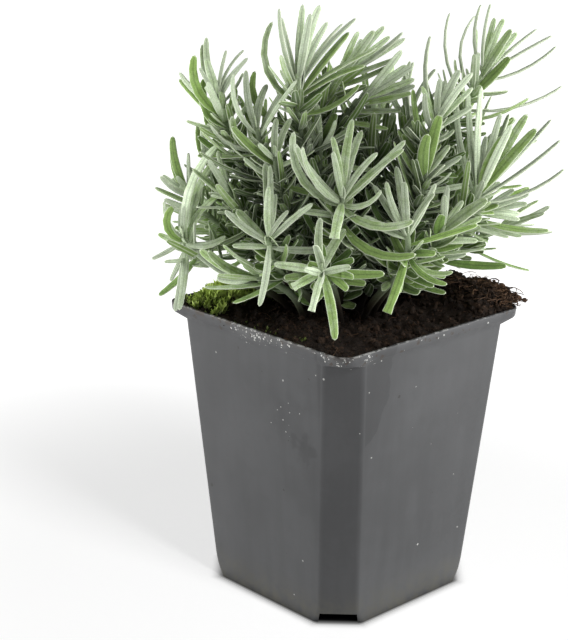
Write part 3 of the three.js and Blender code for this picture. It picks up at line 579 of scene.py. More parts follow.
def felted_leaf(look):
    """A lavender leaf: grey felt over green, with pale rolled edges and a groove along its middle."""
    material, w, shader = new_material(
        "lavender_leaf", Specular_IOR_Level=0.25, Sheen_Weight=0.22, Sheen_Roughness=0.45
    )
    here = w.place(AXIS)
    along, tone, face = w.value("along"), w.value("tone"), w.value("face")
    aside = w.unsigned(w.value("across"))
    soft = w.group(mottle(), Vector=here, Scale=330.0)
    hairs = w.noise(here, 2800.0, 3.0, 0.75)

    # Painted shade: leaves far inside the bush are made greener and darker, where shade falls.
    painted_shade_depth = w.value("depth")
    green = w.plus(w.value("green"), w.span(soft["Blotches"], 0, 1, -0.10, 0.10), w.times(painted_shade_depth, 0.28))
    colour = w.mix(w.span(green, 0, 0.6), look.felt, look.green)
    colour = w.mix(w.span(green, 0.55, 1.0), colour, look.deep)
    colour = w.shade(colour, w.span(hairs, 0.3, 0.7, 0.80, 1.22))
    colour = w.shade(colour, w.span(tone, 0, 1, 0.76, 1.24))
    groove = w.times(w.span(aside, 0.05, 0.26, 1.0, 0.0), w.span(along, 0.93, 1.0, 1.0, 0.0))
    above = w.span(face, 0.4, 0.6)
    # Painted shade in the groove along the upper face.
    colour = w.dim(colour, w.times(groove, above), 0.70)
    keel = w.times(groove, w.span(face, 0.6, 0.4))
    edge = w.most(w.span(aside, 0.80, 0.93), w.span(along, 0.965, 0.99))
    pale = w.most(w.times(keel, 0.55), w.times(edge, 0.78))
    colour = w.mix(pale, colour, look.margin)
    colour = w.mix(w.span(along, 0.0, 0.10, 0.35, 0.0), colour, LEAF_FOOT)
    # Painted shade deep in the bush.
    colour = w.dim(colour, painted_shade_depth, 0.60)
    w.feed(shader["Base Color"], colour)
    w.feed(shader["Roughness"], w.span(green, 0, 1, 0.88, 0.62))
    relief = w.plus(hairs, w.times(soft["Grain"], 0.6))
    w.feed(shader["Normal"], w.bump(relief, 0.35, 0.00018))
    return material


def woody_stem(look):
    """A lavender stem: felted grey green above, brown bark at its foot, with painted shade that darkens its
    foot and the stems deep in the bush.
    """
    material, w, shader = new_material("lavender_stem", Roughness=0.85, Specular_IOR_Level=0.15)
    here = w.place(AXIS)
    soft = w.group(mottle(), Vector=here, Scale=260.0)
    young = w.mix(w.times(soft["Blotches"], 0.5), *YOUNG_STEM)
    colour = w.mix(w.span(w.value("along"), 0.25, 0.60), look.bark, young)
    colour = w.shade(colour, w.span(w.noise(here, 3600.0, 2.0), 0.25, 0.75, 0.78, 1.2))
    # Painted shade: stems deep in the bush are darker.
    colour = w.dim(colour, w.value("depth"), 0.45)
    # Painted shade at the foot of the stem, down among the leaves near the soil, taking it to near black.
    colour = w.shade(colour, w.span(w.value("along"), 0.22, 0.55, 0.12, 1.0))
    w.feed(shader["Base Color"], colour)
    w.feed(shader["Normal"], w.bump(soft["Grain"], 0.5, 0.0003))
    return material


# ---- where the plant grows -------------------------------------------------------------------
# Millimetres, in the plant's own frame: X across, Y to the rear, Z up. It stands turned in the pot.

TURN = math.radians(44)
STEPS = 20
SOIL_LEVEL, SOIL_DIP = 100.6, 14.0
MOUNDS = [(18, 34, 9, 10), (36, 35, 8, 8), (-8, 8, 2.5, 16)]  # x, y, height, spread
LEAF_GAP, STEM_GAP, OWN_GAP = 1.85, 2.7, 1.4
SOIL_CLEAR, RIM_CLEAR = 1.6, 1.4  # least height of a leaf over the soil and over the rim
MOUTH, OUTSIDE = 43, 48  # half widths inside the rim and clear of it
SIGHT = math.radians(21)  # how far the view that the shoots are read in looks down
BUSH = np.array([0.0, -2.0, 146.0]), np.array([60.0, 56.0, 62.0])  # middle and reach of the whole bush
SKIRT = 116  # leaves set by rule in front and at the right keep over this height, so the soil shows
RIGHT_SKIRT = 35  # x from which the skirt also holds at the rear
HEART, HEART_FLOOR = 21, 107  # how far from the axis, and down to what height, leaves may hang lower
BARE_FOOT, FINE_FOOT, INNER_FOOT = 22, 12, 14  # stem over its root without pairs, fine or inner leaves
FOREMOST = -30  # y in front of which the tip of a shoot is seen whole
PAIR_WIDTH = 3.2
PAIR_STEP, PAIR_STEP_MORE = 1.6, 1.24  # from one pair to the next, and more for each older pair
FINE_GAPS = 0.85, 1.45, 0.75  # to other leaves, to other stems and to leaves of the same shoot
INNER_GAPS = 0.55, 1.2, 0.42
NARROW = 0.86  # share of a leaf's width as it is read that is built

# Growth rule for a pair of leaves, young at the apex to old below it.
SIZE = [0.42, 0.72, 0.94, 1, 1, 0.93, 0.84, 0.78]
OPEN = [8, 18, 30, 43, 56, 68, 78, 86]
CURL = [4, 8, 12, 18, 25, 32, 38, 40]


class Shoot:
    """One leafy shoot. at: root x, y. tip: apex. aim: heading of the apex, as a clock seen from the
    front and degrees toward the front. leaves: clock at its base, clock at its end, degrees toward
    the front, length, distance below the apex, width, roll, how green, 1 for a tip that is cut square."""

    def __init__(self, name, at, tip, aim, pairs, length, phase, seed, leaves=()):
        self.name, self.at, self.tip, self.aim = name, at, tip, aim
        self.pairs, self.length, self.phase, self.seed, self.leaves = pairs, length, phase, seed, leaves


SHOOTS = [
    Shoot("front_low", (0, -14), (-7, -49, 128.5), (180, 70), pairs=0, length=24, phase=0, seed=4, leaves=[
        (-14, 10, 16, 18, 2, 3.4, 0, 0.15), (80, 82, 55, 13, 1, 3), (96, 84, 0, 20.5, 3, 4, 0, 0.55),
        (241, 237, 18, 12, 3, 3.6, 0, 0.3, 1), (192, 194, 22, 15, 2, 3, 0, 0.15, 1),
        (161, 176, 18, 24, 4, 4, 0, 0.45), (275, 285, 60, 8, 0, 3), (14, 40, -20, 17, 4, 4),
        (280, 276, -20, 17, 5, 3.6),
    ]),
    Shoot("front_middle", (-1, -9), (-1, -32, 150), (0, 25), pairs=4, length=26, phase=45, seed=1, leaves=[
        (-4, -18, 20, 21, 0.6, 3), (-12, -14, 38, 17, 0.6, 2.8), (0, 12, -6, 28, 1.2, 3.7),
        (4, 24, -12, 27, 1.2, 3.7), (22, 52, 20, 20, 1.2, 3), (40, 58, 10, 27, 1.8, 3.2),
        (44, 42, -4, 30, 2.4, 3.6), (-58, -22, 6, 25, 1.2, 3.3), (-64, -18, 16, 25, 1.8, 3.2),
        (-72, -4, 24, 27, 2.4, 3.2), (-78, 15, 0, 33, 3, 3.6), (190, 188, 55, 20, 1.8, 4.2, 0, 0.2, 1),
        (120, 25, 38, 17, 2.4, 3.2), (138, 62, 12, 27, 3.6, 4.6, 0, 0.22),
        (155, 70, -8, 31, 9, 4.6, 0, 0.5), (-80, -85, -8, 15, 7, 3.4),
    ]),
    Shoot("front_right", (5, -9), (20.5, -38, 140.2), (-12, 25), pairs=3, length=22, phase=20, seed=2,
          leaves=[
        (-36, -8, 15, 19, 0.6, 2.8), (-34, -32, -20, 22, 1.8, 3), (-6, -4, 10, 17, 0.6, 3.4),
        (-14, -18, 28, 13, 0.6, 3), (-8, -12, -25, 25, 1.8, 3.6), (18, 46, 10, 16.5, 1.2, 2.8),
        (28, 24, 0, 20, 1.8, 2.8), (-66, -60, -14, 17, 2.4, 4), (72, 72, 0, 24, 5, 3, 0, 0.62),
        (95, 95, 62, 12, 8, 4.4, 0, 0.75), (194, 202, 12, 23, 8, 3.9, 0, 0.6, 1),
        (160, 92, 12, 18, 8, 3, 0, 0.75), (150, 66, 0, 18, 8, 2.6, 0, 0.3),
    ]),
    Shoot("front_left", (-5, -8), (-25, -36, 137), (-2, 25), pairs=3, length=24, phase=30, seed=3, leaves=[
        (-8, 8, 20, 17.5, 0.6, 2.8), (-2, -8, -15, 28, 1.8, 3.6), (2, -4, -25, 26, 1.8, 2.8),
        (8, 4, 0, 17.5, 0.6, 2.4), (25, 48, 30, 12, 0.6, 2.4), (42, 56, 15, 19.5, 1.8, 3.2),
        (-66, -44, 10, 18, 1.8, 3.4), (-44, -42, -25, 18, 3, 4.2), (100, 78, 5, 23, 3.6, 3.6),
        (108, 100, 0, 17, 8, 3.4), (178, 194, 32, 24, 2.4, 3), (-86, -90, -18, 13, 3.6, 3.2),
    ]),
    Shoot("left_low", (-14, -4), (-56.3, -12, 130), (-30, 25), pairs=2, length=22, phase=10, seed=5,
          leaves=[
        (4, 6, 25, 11, 0, 2.6), (-24, 42, 10, 19, 1.2, 2.8, 60), (-58, 6, 0, 16, 1.2, 2.6, 40),
        (-85, 55, 0, 16, 1.8, 3.8, 0, 0.6), (234, 244, 10, 13, 1.8, 2.8), (132, 124, 15, 19.5, 1.8, 3.1),
        (180, 192, 14, 25, 2.4, 3.6), (176, 188, 30, 26, 3, 3.4), (204, 206, -10, 14, 3.6, 3),
        (112, 50, 12, 16, 2.4, 4), (-12, 50, 0, 38, 3, 4.6), (-18, 42, -12, 36, 8, 5),
        (4, 62, 10, 21, 3.6, 4), (214, 236, -10, 20, 9, 3.8, 0, 0.85),
    ]),
    Shoot("left_middle", (-13, 3), (-56, 3, 143), (-35, 10), pairs=3, length=22, phase=60, seed=6, leaves=[
        (-34, 2, 5, 21, 1, 3.9, 0, 0.75), (-46, 2, -10, 18, 2, 3.3, 0, 0.7), (0, -2, 10, 14, 1, 2.8, 60),
        (-62, -52, 8, 11, 1, 2.4), (-70, -56, 0, 9, 2, 2.2), (-82, -34, 0, 14, 3, 2.8, 60, 0.3),
    ]),
    Shoot("left_high", (-10, 2), (-45, 2, 178), (-12, 5), pairs=3, length=25, phase=0, seed=7, leaves=[
        (-28, 4, 0, 22, 2, 3), (-36, 2, 0, 22, 3, 3.2), (-22, -16, 8, 13, 1, 3.6),
        (2, 16, 0, 16, 1, 2.6, 60), (4, 48, 0, 20, 2, 2.6, 65), (14, 52, 0, 18, 2, 2.8, 55),
        (22, 48, 0, 18, 3, 3.4), (-72, -30, 5, 19, 5, 3, 40), (-70, 20, 5, 25, 8, 4.2, 0, 0.6),
        (-66, 18, 5, 24, 15, 4, 0, 0.6), (-78, 0, 5, 18, 19, 4, 0, 0.65), (-30, -34, 20, 15, 4, 2.8),
    ]),
    Shoot("left_inner", (-8, -3), (-31, -8, 168), (-15, 5), pairs=3, length=26, phase=45, seed=8, leaves=[
        (-55, 12, 0, 24, 3, 2.8, 40), (-24, 2, 8, 22, 2, 3), (-10, 30, -8, 18, 2, 3.6),
        (-100, -28, 0, 21, 8, 3, 75), (-85, 4, 8, 18, 9, 3.6), (20, 40, -5, 26, 3, 3),
        (28, 40, 5, 24, 4, 3),
    ]),
    Shoot("top", (-3, 0), (-17, -4, 184), (2, 4), pairs=3, length=30, phase=20, seed=9, leaves=[
        (-1, 5, 0, 28, 2, 3.4), (6, 24, 4, 28, 2, 4.2), (8, 12, 12, 25, 2, 3.6), (14, 32, 0, 25, 2, 3.6),
        (18, 44, -5, 31, 3, 3, 65), (28, 52, 0, 31, 3, 3.2, 40), (-16, -14, 0, 24, 2, 2.8, 65),
        (-28, 0, 0, 28, 3, 2.8, 60), (-66, 34, 5, 33, 8, 3, 0, 0.25), (34, 42, 10, 28, 6, 4.2, 0, 0.4),
        (48, 78, 5, 26, 7, 4, 0, 0.35), (54, 66, 0, 31, 5, 3), (88, 36, 10, 24, 12, 3.4),
        (-95, 22, 8, 32, 15, 3.4), (-8, 14, 30, 9, 8, 3),
    ]),
    Shoot("top_right", (-1, 5), (-1, 12, 185), (42, 0), pairs=3, length=26, phase=45, seed=10, leaves=[
        (34, 36, 0, 18, 1, 3.2), (40, 44, 8, 21, 1, 3.2), (48, 50, 0, 22, 2, 3.2),
        (54, 52, -8, 23, 2, 3.2), (60, 58, 5, 26, 3, 3.4), (66, 46, -5, 28, 4, 3, 50),
        (28, 20, -5, 15, 1, 2.8), (72, 70, 10, 24, 5, 3.6), (16, 30, 10, 17, 3, 3.2),
        (40, 38, 20, 24, 6, 4), (78, 60, 15, 22, 8, 3.6),
    ]),
    Shoot("top_inner", (2, 2), (7, 4, 178), (55, 5), pairs=3, length=26, phase=0, seed=11, leaves=[
        (50, 50, 0, 18, 1, 3.2), (58, 56, 10, 20, 2, 3.2), (64, 66, 0, 21, 3, 3.4),
        (72, 66, -5, 22, 4, 3.4), (44, 36, 5, 22, 3, 3.4), (80, 76, 12, 20, 6, 3.6),
        (88, 90, 10, 18, 9, 3.6), (98, 100, 5, 16, 13, 3.6),
    ]),
    Shoot("middle_left", (-5, -5), (-24, -18, 160), (-6, 20), pairs=2, length=20, phase=0, seed=12, leaves=[
        (-8, 10, 10, 14, 1, 3), (4, 32, 5, 16.5, 2, 3.2), (-50, -46, 20, 8, 1, 2.8),
        (-58, -40, -5, 20, 3, 4, 0, 0.45), (-70, -48, 10, 14, 8, 2.8), (-60, -40, 15, 12, 12, 2.8),
        (60, 70, 10, 10, 4, 2.8), (100, 110, 0, 14, 10, 3.4),
    ]),
    Shoot("right_high", (9, 4), (46.3, 6, 186.3), (24, 0), pairs=2, length=24, phase=15, seed=13, leaves=[
        (8, 14, 0, 20, 1, 3, 0, 0.3), (14, 26, 5, 20, 1, 3.1, 0, 0.25), (28, 36, 8, 20, 3, 3.8, 0, 0.35),
        (32, 42, -6, 21, 3, 3.6, 0, 0.3), (40, 52, 0, 29, 3, 3, 72), (54, 62, 0, 29, 3, 3, 72),
        (84, 42, 0, 30, 4, 3, 75), (48, 40, 10, 19, 10, 4.6, 0, 0.6), (-6, 16, 0, 24, 1, 2.6, 75, 0.3),
        (-26, 24, 0, 25, 1, 2.6, 75, 0.3), (-36, 42, -5, 31, 8, 2.6, 80, 0.3),
        (-42, 20, 5, 33, 12, 2.6, 80, 0.3), (96, 52, 0, 36, 15, 3, 80), (10, 4, 0, 8, 9, 2.4),
    ]),
    Shoot("right_inner", (9, -1), (30, -8, 172.8), (12, 5), pairs=2, length=24, phase=70, seed=14, leaves=[
        (18, 30, 0, 20, 2, 3.8), (28, 44, 4, 22, 3, 3.6), (44, 46, 5, 18, 3, 3.1),
        (0, 8, 10, 13, 0, 2.8), (8, 16, 0, 14, 0, 2.8), (-22, 16, -5, 31, 2, 2.8, 60, 0.3),
        (56, 60, 10, 16, 5, 3.2), (-10, -30, 10, 14, 3, 3),
    ]),
    Shoot("right_middle", (4, -5), (27, -15, 156), (4, 8), pairs=2, length=24, phase=30, seed=19, leaves=[
        (6, 18, 8, 21, 2, 5.2, 0, 0.45), (-18, 22, 15, 16, 3, 5.2, 0, 0.4), (34, 40, 10, 13, 2, 3.6),
        (50, 60, 10, 15, 4, 3.4), (-40, -30, 10, 14, 5, 3.4), (80, 76, 5, 16, 8, 3.6),
    ]),
    Shoot("right_rear", (5, 6), (22, 20, 168), (0, 0), pairs=3, length=24, phase=20, seed=15, leaves=[
        (-22, 22, 0, 22, 2, 3, 40), (-14, 20, -5, 24, 3, 3, 50), (-14, -4, 0, 17, 2, 2.8, 60),
        (-34, -30, 0, 16, 4, 3.4), (10, 44, 0, 20, 1, 2.8, 50), (30, 50, 0, 15, 3, 2.8, 60),
    ]),
    Shoot("right_outer", (11, -4), (46, -14, 150), (25, 10), pairs=2, length=26, phase=30, seed=16, leaves=[
        (14, 32, 20, 21, 2, 5.6, 0, 0.45), (12, 16, 5, 28, 2, 3.2), (22, 26, 8, 26, 2, 3.5),
        (20, 20, -8, 35, 3, 3.2, 50), (28, 32, -4, 33, 3, 4.2, 0, 0.35), (38, 42, 6, 30, 3, 4.4, 0, 0.5),
        (44, 40, -6, 38, 4, 3, 60), (60, 46, 0, 36, 5, 3, 65), (88, 46, 0, 34, 6, 3, 70),
        (-10, -2, 8, 37, 3, 3.2), (-4, 6, -4, 37, 3, 3.2), (-24, 2, 12, 35, 4, 3, 25),
        (-2, 14, 4, 20, 1, 3),
    ]),
    Shoot("right_side", (13, 0), (49, -6, 141), (65, 15), pairs=2, length=22, phase=0, seed=17, leaves=[
        (60, 66, 0, 17, 1, 3.2, 0, 0.5), (68, 72, 8, 17, 2, 3.2), (76, 82, 0, 16, 2, 3.2),
        (84, 96, 8, 15, 3, 3.2), (96, 104, 0, 15, 4, 3.2), (52, 60, 10, 13, 1, 2.8),
        (112, 86, 12, 28, 7, 3.6, 0, 0.45), (112, 100, -5, 20, 8, 3), (120, 60, 5, 14, 10, 2.8),
    ]),
    Shoot("right_front", (8, -7), (33, -31, 141), (20, 25), pairs=1, length=20, phase=45, seed=18, leaves=[
        (-10, 26, 45, 9, 5, 5, 0, 0.8), (48, 58, 15, 19, 3, 5, 0, 0.3), (-4, 2, 5, 10, 0, 3),
        (4, 6, -5, 15, 1, 2.8), (66, 60, 0, 16, 5, 3.4), (80, 95, 5, 14, 7, 3.4), (30, 36, 0, 14, 2, 3),
    ]),
    Shoot("right_low", (13, -10), (32.8, -15, 124.3), (98, 10), pairs=0, length=18, phase=45, seed=23,
          leaves=[
        (99, 86, 0, 23, 0, 3.8, 0, 0.85),
    ]),
    Shoot("left_front", (-13, -8), (-31, -28, 121), (-80, 10), pairs=0, length=24, phase=45, seed=20,
          leaves=[
        (-82, -48, 5, 23, 3, 4.2, 0, 0.35), (-88, -40, 15, 22, 4, 3.6, 0, 0.4),
        (-110, -70, -10, 14, 1, 3.2),
    ]),
    Shoot("left_rear", (-12, 6), (-49, 13, 151), (-10, 0), pairs=3, length=22, phase=0, seed=21, leaves=[
        (-34, 6, 0, 17, 2, 3.8, 0, 0.5), (-20, 2, 0, 14, 1, 3.6), (20, 4, 5, 15, 1, 5, 0, 0.8),
        (50, 30, 5, 18, 3, 3.6),
    ]),
    Shoot("centre", (-2, -4), (-9, -6, 165), (4, 10), pairs=3, length=22, phase=0, seed=22, leaves=[
        (14, 28, 5, 15, 6, 4.4, 0, 0.5), (-30, -20, 10, 14, 4, 3.4), (60, 50, 10, 14, 4, 3.4),
        (-10, -4, 0, 12, 1, 3), (92, 96, 0, 20, 10, 3.4),
    ]),
    Shoot("left_centre", (-10, -1), (-41, -10, 148), (-25, 20), pairs=4, length=24, phase=40, seed=41),
    Shoot("right_centre", (2, -3), (13, 6, 162), (20, 5), pairs=5, length=25, phase=10, seed=42),
    Shoot("rear_1", (-9, 8), (-34, 26, 154), (-22, -15), pairs=7, length=27, phase=20, seed=31),
    Shoot("rear_2", (-4, 10), (-14, 35, 166), (-10, -20), pairs=7, length=27, phase=60, seed=32),
    Shoot("rear_3", (2, 9), (9, 37, 168), (10, -20), pairs=7, length=27, phase=0, seed=33),
    Shoot("rear_4", (8, 11), (31, 34, 150), (25, -20), pairs=7, length=26, phase=40, seed=34),
    Shoot("rear_5", (13, 8), (50, 24, 156), (35, -15), pairs=7, length=27, phase=10, seed=35),
    Shoot("rear_6", (-7, 14), (-26, 50, 132), (-35, -45), pairs=6, length=25, phase=70, seed=36),
    Shoot("rear_7", (0, 15), (6, 55, 132), (10, -50), pairs=6, length=25, phase=30, seed=37),
    Shoot("rear_8", (10, 16), (36, 48, 128), (40, -45), pairs=6, length=25, phase=50, seed=38),
    Shoot("rear_9", (16, 5), (60, 14, 130), (70, -20), pairs=6, length=25, phase=0, seed=39),
    Shoot("rear_10", (-14, 10), (-52, 30, 128), (-55, -20), pairs=6, length=25, phase=20, seed=40),
]

ACROSS = np.array([1.0, 0.0, 0.0])
UPPER = np.array([0.0, math.sin(SIGHT), math.cos(SIGHT)])
TOWARD = np.array([0.0, -math.cos(SIGHT), math.sin(SIGHT)])


def seeded(seed):
    """Draws from -1 to 1 by a linear congruential rule, the same on every run."""
    state = (seed * 2654435761 + 12345) % 2**32

    def draw():
        nonlocal state
        state = (state * 1664525 + 1013904223) % 2**32
        return state / 2**31 - 1

    for _ in range(4):
        draw()
    return draw


def part(draw):
    """A draw from 0 to 1."""
    return draw() * 0.5 + 0.5


def unit(vectors):
    return vectors / np.linalg.norm(vectors, axis=-1, keepdims=True)


def front(clock, toward):
    """Headings read as a clock from the front, and degrees toward the front."""
    c, t = np.radians(clock)[..., None], np.radians(toward)[..., None]
    return np.cos(t) * np.sin(c) * ACROSS + np.cos(t) * np.cos(c) * UPPER + np.sin(t) * TOWARD


def stem_line(shoot):
    """The curve of a stem: it leaves the soil upright and ends at its tip along its aim."""
    root = np.array([*shoot.at, HEIGHT / MM - 1 - SOIL_DIP])
    tip = np.array(shoot.tip, float)
    aim = front(np.array(shoot.aim[0]), np.array(shoot.aim[1]))
    span = np.linalg.norm(tip - root)
    hull = np.array([root, root + [0, 0, span * 0.42], tip - aim * span * 0.34, tip])
    t = np.linspace(0, 1, 25)[:, None]
    weights = np.hstack([(1 - t) ** 3, 3 * (1 - t) ** 2 * t, 3 * (1 - t) * t * t, t**3])
    return weights @ hull


def arc_length(line):
    return np.linalg.norm(np.diff(line, axis=0), axis=1).sum()


def back(line, distance):
    """The point and the heading of a line, so far back from its end."""
    left = distance
    for i in range(len(line) - 1, 0, -1):
        step = line[i] - line[i - 1]
        long = np.linalg.norm(step)
        if left <= long:
            return line[i] - step * (left / long), step / long
        left -= long
    return line[0], unit(line[1] - line[0])


def breadth(u):
    """Share of the full width along a leaf: narrow base, widest by its middle, drawn in to a blunt tip."""
    base = 0.34 + 0.66 * np.sin(np.minimum(u / 0.45, 1) * math.pi / 2)
    drawn_in = 1 - 0.34 * (np.maximum(0, u - 0.5) / 0.5) ** 1.5
    return base * drawn_in * np.sqrt(1 - (np.maximum(0, u - 0.9) / 0.1) ** 2)


CROWDED = 8  # steps of a leaf from its base that may stand close to the leaves of its own shoot
ALONG = np.linspace(0, 1, STEPS + 1)
BREADTH = breadth(ALONG)


class Leaf:
    """A blade swept along headings, its upper face turned to the faces given, then rolled."""

    def __init__(self, base, headings, faces, length, width, roll, distance=0.0):
        w = unit(np.cross(headings, faces))
        n = np.cross(w, headings)
        r = math.radians(roll)
        self.across = w * math.cos(r) + n * math.sin(r)
        self.up = np.cross(self.across, headings)
        steps = np.vstack([np.zeros(3), headings[:-1] * (length / STEPS)])
        self.path = base + np.cumsum(steps, axis=0)
        self.length, self.width, self.distance = length, width * NARROW, distance
        self.green, self.cut, self.read, self.edgewise = 0.3, False, False, abs(roll) > 45

    def measure(self):
        """The points that are tested for room, with a ball round them."""
        half = np.maximum(0.3, BREADTH * self.width / 2)[:, None, None]
        share = np.array([-1, -0.5, 0, 0.5, 1])[None, :, None]
        rows = self.path[:, None] + self.across[:, None] * half * share
        self.samples = rows.reshape(-1, 3)
        self.outer = rows[CROWDED:].reshape(-1, 3)
        self.centre = self.samples.mean(0)
        self.radius = np.linalg.norm(self.samples - self.centre, axis=1).max()


def front_leaf(line, clock, end, toward, length, distance, width=3.2, roll=0):
    """A leaf whose direction is read from the front."""
    base, axis = back(line, distance)
    headings = front(clock + (end - clock) * ALONG, toward * (1 - 0.5 * ALONG))
    middle = headings[STEPS // 2]
    lead = TOWARD if roll else axis + TOWARD * 0.8
    face = unit(lead - middle * (lead @ middle))
    return Leaf(base, headings, np.broadcast_to(face, headings.shape), length, width, roll, distance)


def ring_leaf(seat, clock, spread, length, curl, sway, roll, width, distance):
    """A leaf set round the stem: clock about it, spread away from it, curl back to it."""
    base, axis = seat
    reference = UPPER - axis * (UPPER @ axis)
    if reference @ reference < 1e-3:
        reference = ACROSS - axis * (ACROSS @ axis)
    up = unit(reference)
    side = np.cross(axis, up)
    c = math.radians(clock)
    out = up * math.cos(c) - side * math.sin(c)
    tangent = np.cross(axis, out)
    s = np.radians(spread - curl * ALONG)[:, None]
    drift = tangent * np.tan(math.radians(sway) * ALONG)[:, None]
    headings = unit(axis * np.cos(s) + out * np.sin(s) + drift)
    faces = unit(axis * np.sin(s) - out * np.cos(s))
    return Leaf(base, headings, faces, length, width, roll, distance)


def soil_top(x, y):
    """Height of the soil, in the pot's frame."""
    z = SOIL_LEVEL + 0.45 * np.sin(0.51 * x + 1.3) * np.cos(0.43 * y)
    z = z + 0.35 * np.sin(0.9 * y + 0.37 * x)
    for mx, my, high, wide in MOUNDS:
        z = z + high * np.exp(-((x - mx) ** 2 + (y - my) ** 2) / (2 * wide * wide))
    return z


def in_pot(points):
    """Points of the plant's frame in the pot's frame, still in millimetres."""
    c, s = math.cos(TURN), math.sin(TURN)
    x, y, z = points.T
    return np.stack([x * c - y * s, x * s + y * c, z], axis=1)


def in_row(points):
    """Points of the plant's frame where they stand in the row frame, in metres."""
    return in_pot(points) * MM + np.array(AXIS)


def over_pot(points):
    """Whether points of the plant's frame keep clear over the soil and the rim."""
    x, y, z = in_pot(points).T
    out = np.maximum(np.maximum(abs(x), abs(y)), (abs(x) + abs(y)) / 1.31)
    soil = soil_top(x, y) + SOIL_CLEAR
    need = np.where(out < MOUTH, soil, np.maximum(HEIGHT / MM + RIM_CLEAR, soil))
    return bool(np.all((z >= need) | (out >= OUTSIDE)))


def over_skirt(leaf, height, heart=0.0):
    """Whether a leaf keeps over the height in front and at the right. Within the heart, a distance from
    the pot's axis, it may hang lower."""
    x, y, z = leaf.path.T
    inner = (np.hypot(x, y) < heart) & (z > HEART_FLOOR)
    return bool(np.all(((y > 0) & (x < RIGHT_SKIRT)) | (z > height) | inner))


# The materials paint shade by this depth: darker far inside the bush.
def depth(points):
    """How far inside the bush points of the plant's frame are: 0 on its outside, 1 at its heart."""
    reach = np.sqrt((((points - BUSH[0]) / BUSH[1]) ** 2).sum(-1))
    return np.clip((0.95 - reach) / 0.55, 0, 1)


def near(a, b, distance):
    """Whether any point of the one lot is closer than the distance to any of the other."""
    gaps = ((a[:, None] - b[None]) ** 2).sum(-1)
    return gaps.size > 0 and gaps.min() < distance * distance


class Room:
    """The stems and the leaves placed so far, and the test of whether one more leaf fits."""

    def __init__(self, lines):
        self.lines = lines
        thirds = np.arange(3)[:, None] / 3
        self.marks = [
            np.vstack([*(a + (b - a) * thirds for a, b in zip(line, line[1:])), line[-1:]])
            for line in lines
        ]
        self.kept = [[] for _ in lines]
        self.owners, self.all = [], []
        self.centres, self.radii = np.zeros((0, 3)), np.zeros(0)

    def fits(self, own, leaf, leaf_gap=LEAF_GAP, stem_gap=STEM_GAP, own_gap=OWN_GAP):
        leaf.measure()
        if not over_pot(leaf.samples):
            return False
        for o, marks in enumerate(self.marks):
            if o != own:
                close = ((marks - leaf.centre) ** 2).sum(1) < (leaf.radius + stem_gap) ** 2
                if close.any() and near(leaf.samples, marks[close], stem_gap):
                    return False
        reach = (self.radii + leaf.radius + leaf_gap) ** 2
        for i in np.flatnonzero(((self.centres - leaf.centre) ** 2).sum(1) < reach):
            other = self.all[i]
            if self.owners[i] == own:
                if near(leaf.outer, other.outer, own_gap):
                    return False
            elif near(leaf.samples, other.samples, leaf_gap):
                return False
        return True

    def keep(self, own, leaf):
        self.kept[own].append(leaf)
        self.owners.append(own)
        self.all.append(leaf)
        self.centres = np.vstack([self.centres, leaf.centre])
        self.radii = np.append(self.radii, leaf.radius)


def place_front_leaves(room):
    """The leaves read from the front keep their places; a turn or a shorter blade clears a neighbour."""
    bends = [(0, 1), (10, 1), (-10, 1), (20, 1), (-20, 1), (0, 0.88), (30, 1), (-30, 1), (15, 0.88),
             (-15, 0.88), (0, 0.75), (30, 0.8), (-30, 0.8)]
    for own, shoot in enumerate(SHOOTS):
        for clock, end, toward, length, *rest in shoot.leaves:
            for turned, share in bends:
                leaf = front_leaf(room.lines[own], clock, end, toward + turned, length * share, *rest[:3])
                if room.fits(own, leaf):
                    leaf.green = rest[3] if len(rest) > 3 else None
                    leaf.read = True
                    leaf.cut = len(rest) > 4
                    room.keep(own, leaf)
                    break


def place_pairs(room):
    """Pairs by rule, each turned a quarter from the last, down to the old leaves near the soil."""
    shifts = [(0, 0, 1), (9, 0, 1), (-9, 0, 1), (0, -10, 1), (0, 10, 1), (18, 0, 0.9), (-18, 0, 0.9),
              (0, -20, 0.85), (0, 0, 0.7)]
    for own, shoot in enumerate(SHOOTS):
        draw = seeded(shoot.seed)
        line = room.lines[own]
        total = arc_length(line)
        k, distance = 0, 0.8
        while distance < total - BARE_FOOT:
            young = min(k, len(SIZE) - 1)
            seat = back(line, distance)
            for side in (0, 180):
                j = [draw() for _ in range(7)]
                if k >= shoot.pairs and j[6] > 0.1:
                    continue
                for clock_shift, spread_shift, share in shifts:
                    leaf = ring_leaf(
                        seat,
                        shoot.phase + 90 * k + side + 14 * j[0] + clock_shift,
                        min(100, OPEN[young] + 7 * j[1]) + spread_shift,
                        shoot.length * SIZE[young] * (1 + 0.12 * j[2]) * share,
                        CURL[young] + 16 * j[3],
                        12 * j[4],
                        35 * j[5],
                        PAIR_WIDTH * (0.8 + 0.2 * SIZE[young]),
                        distance,
                    )
                    first = (clock_shift, spread_shift, share) == shifts[0]
                    if first and shoot.leaves and k <= shoot.pairs:
                        if unit(leaf.path[-1] - leaf.path[0]) @ TOWARD > -0.1:
                            break
                    if over_skirt(leaf, SKIRT) and room.fits(own, leaf):
                        leaf.green = None
                        room.keep(own, leaf)
                        break
            k += 1
            distance += PAIR_STEP + PAIR_STEP_MORE * min(k, 5)


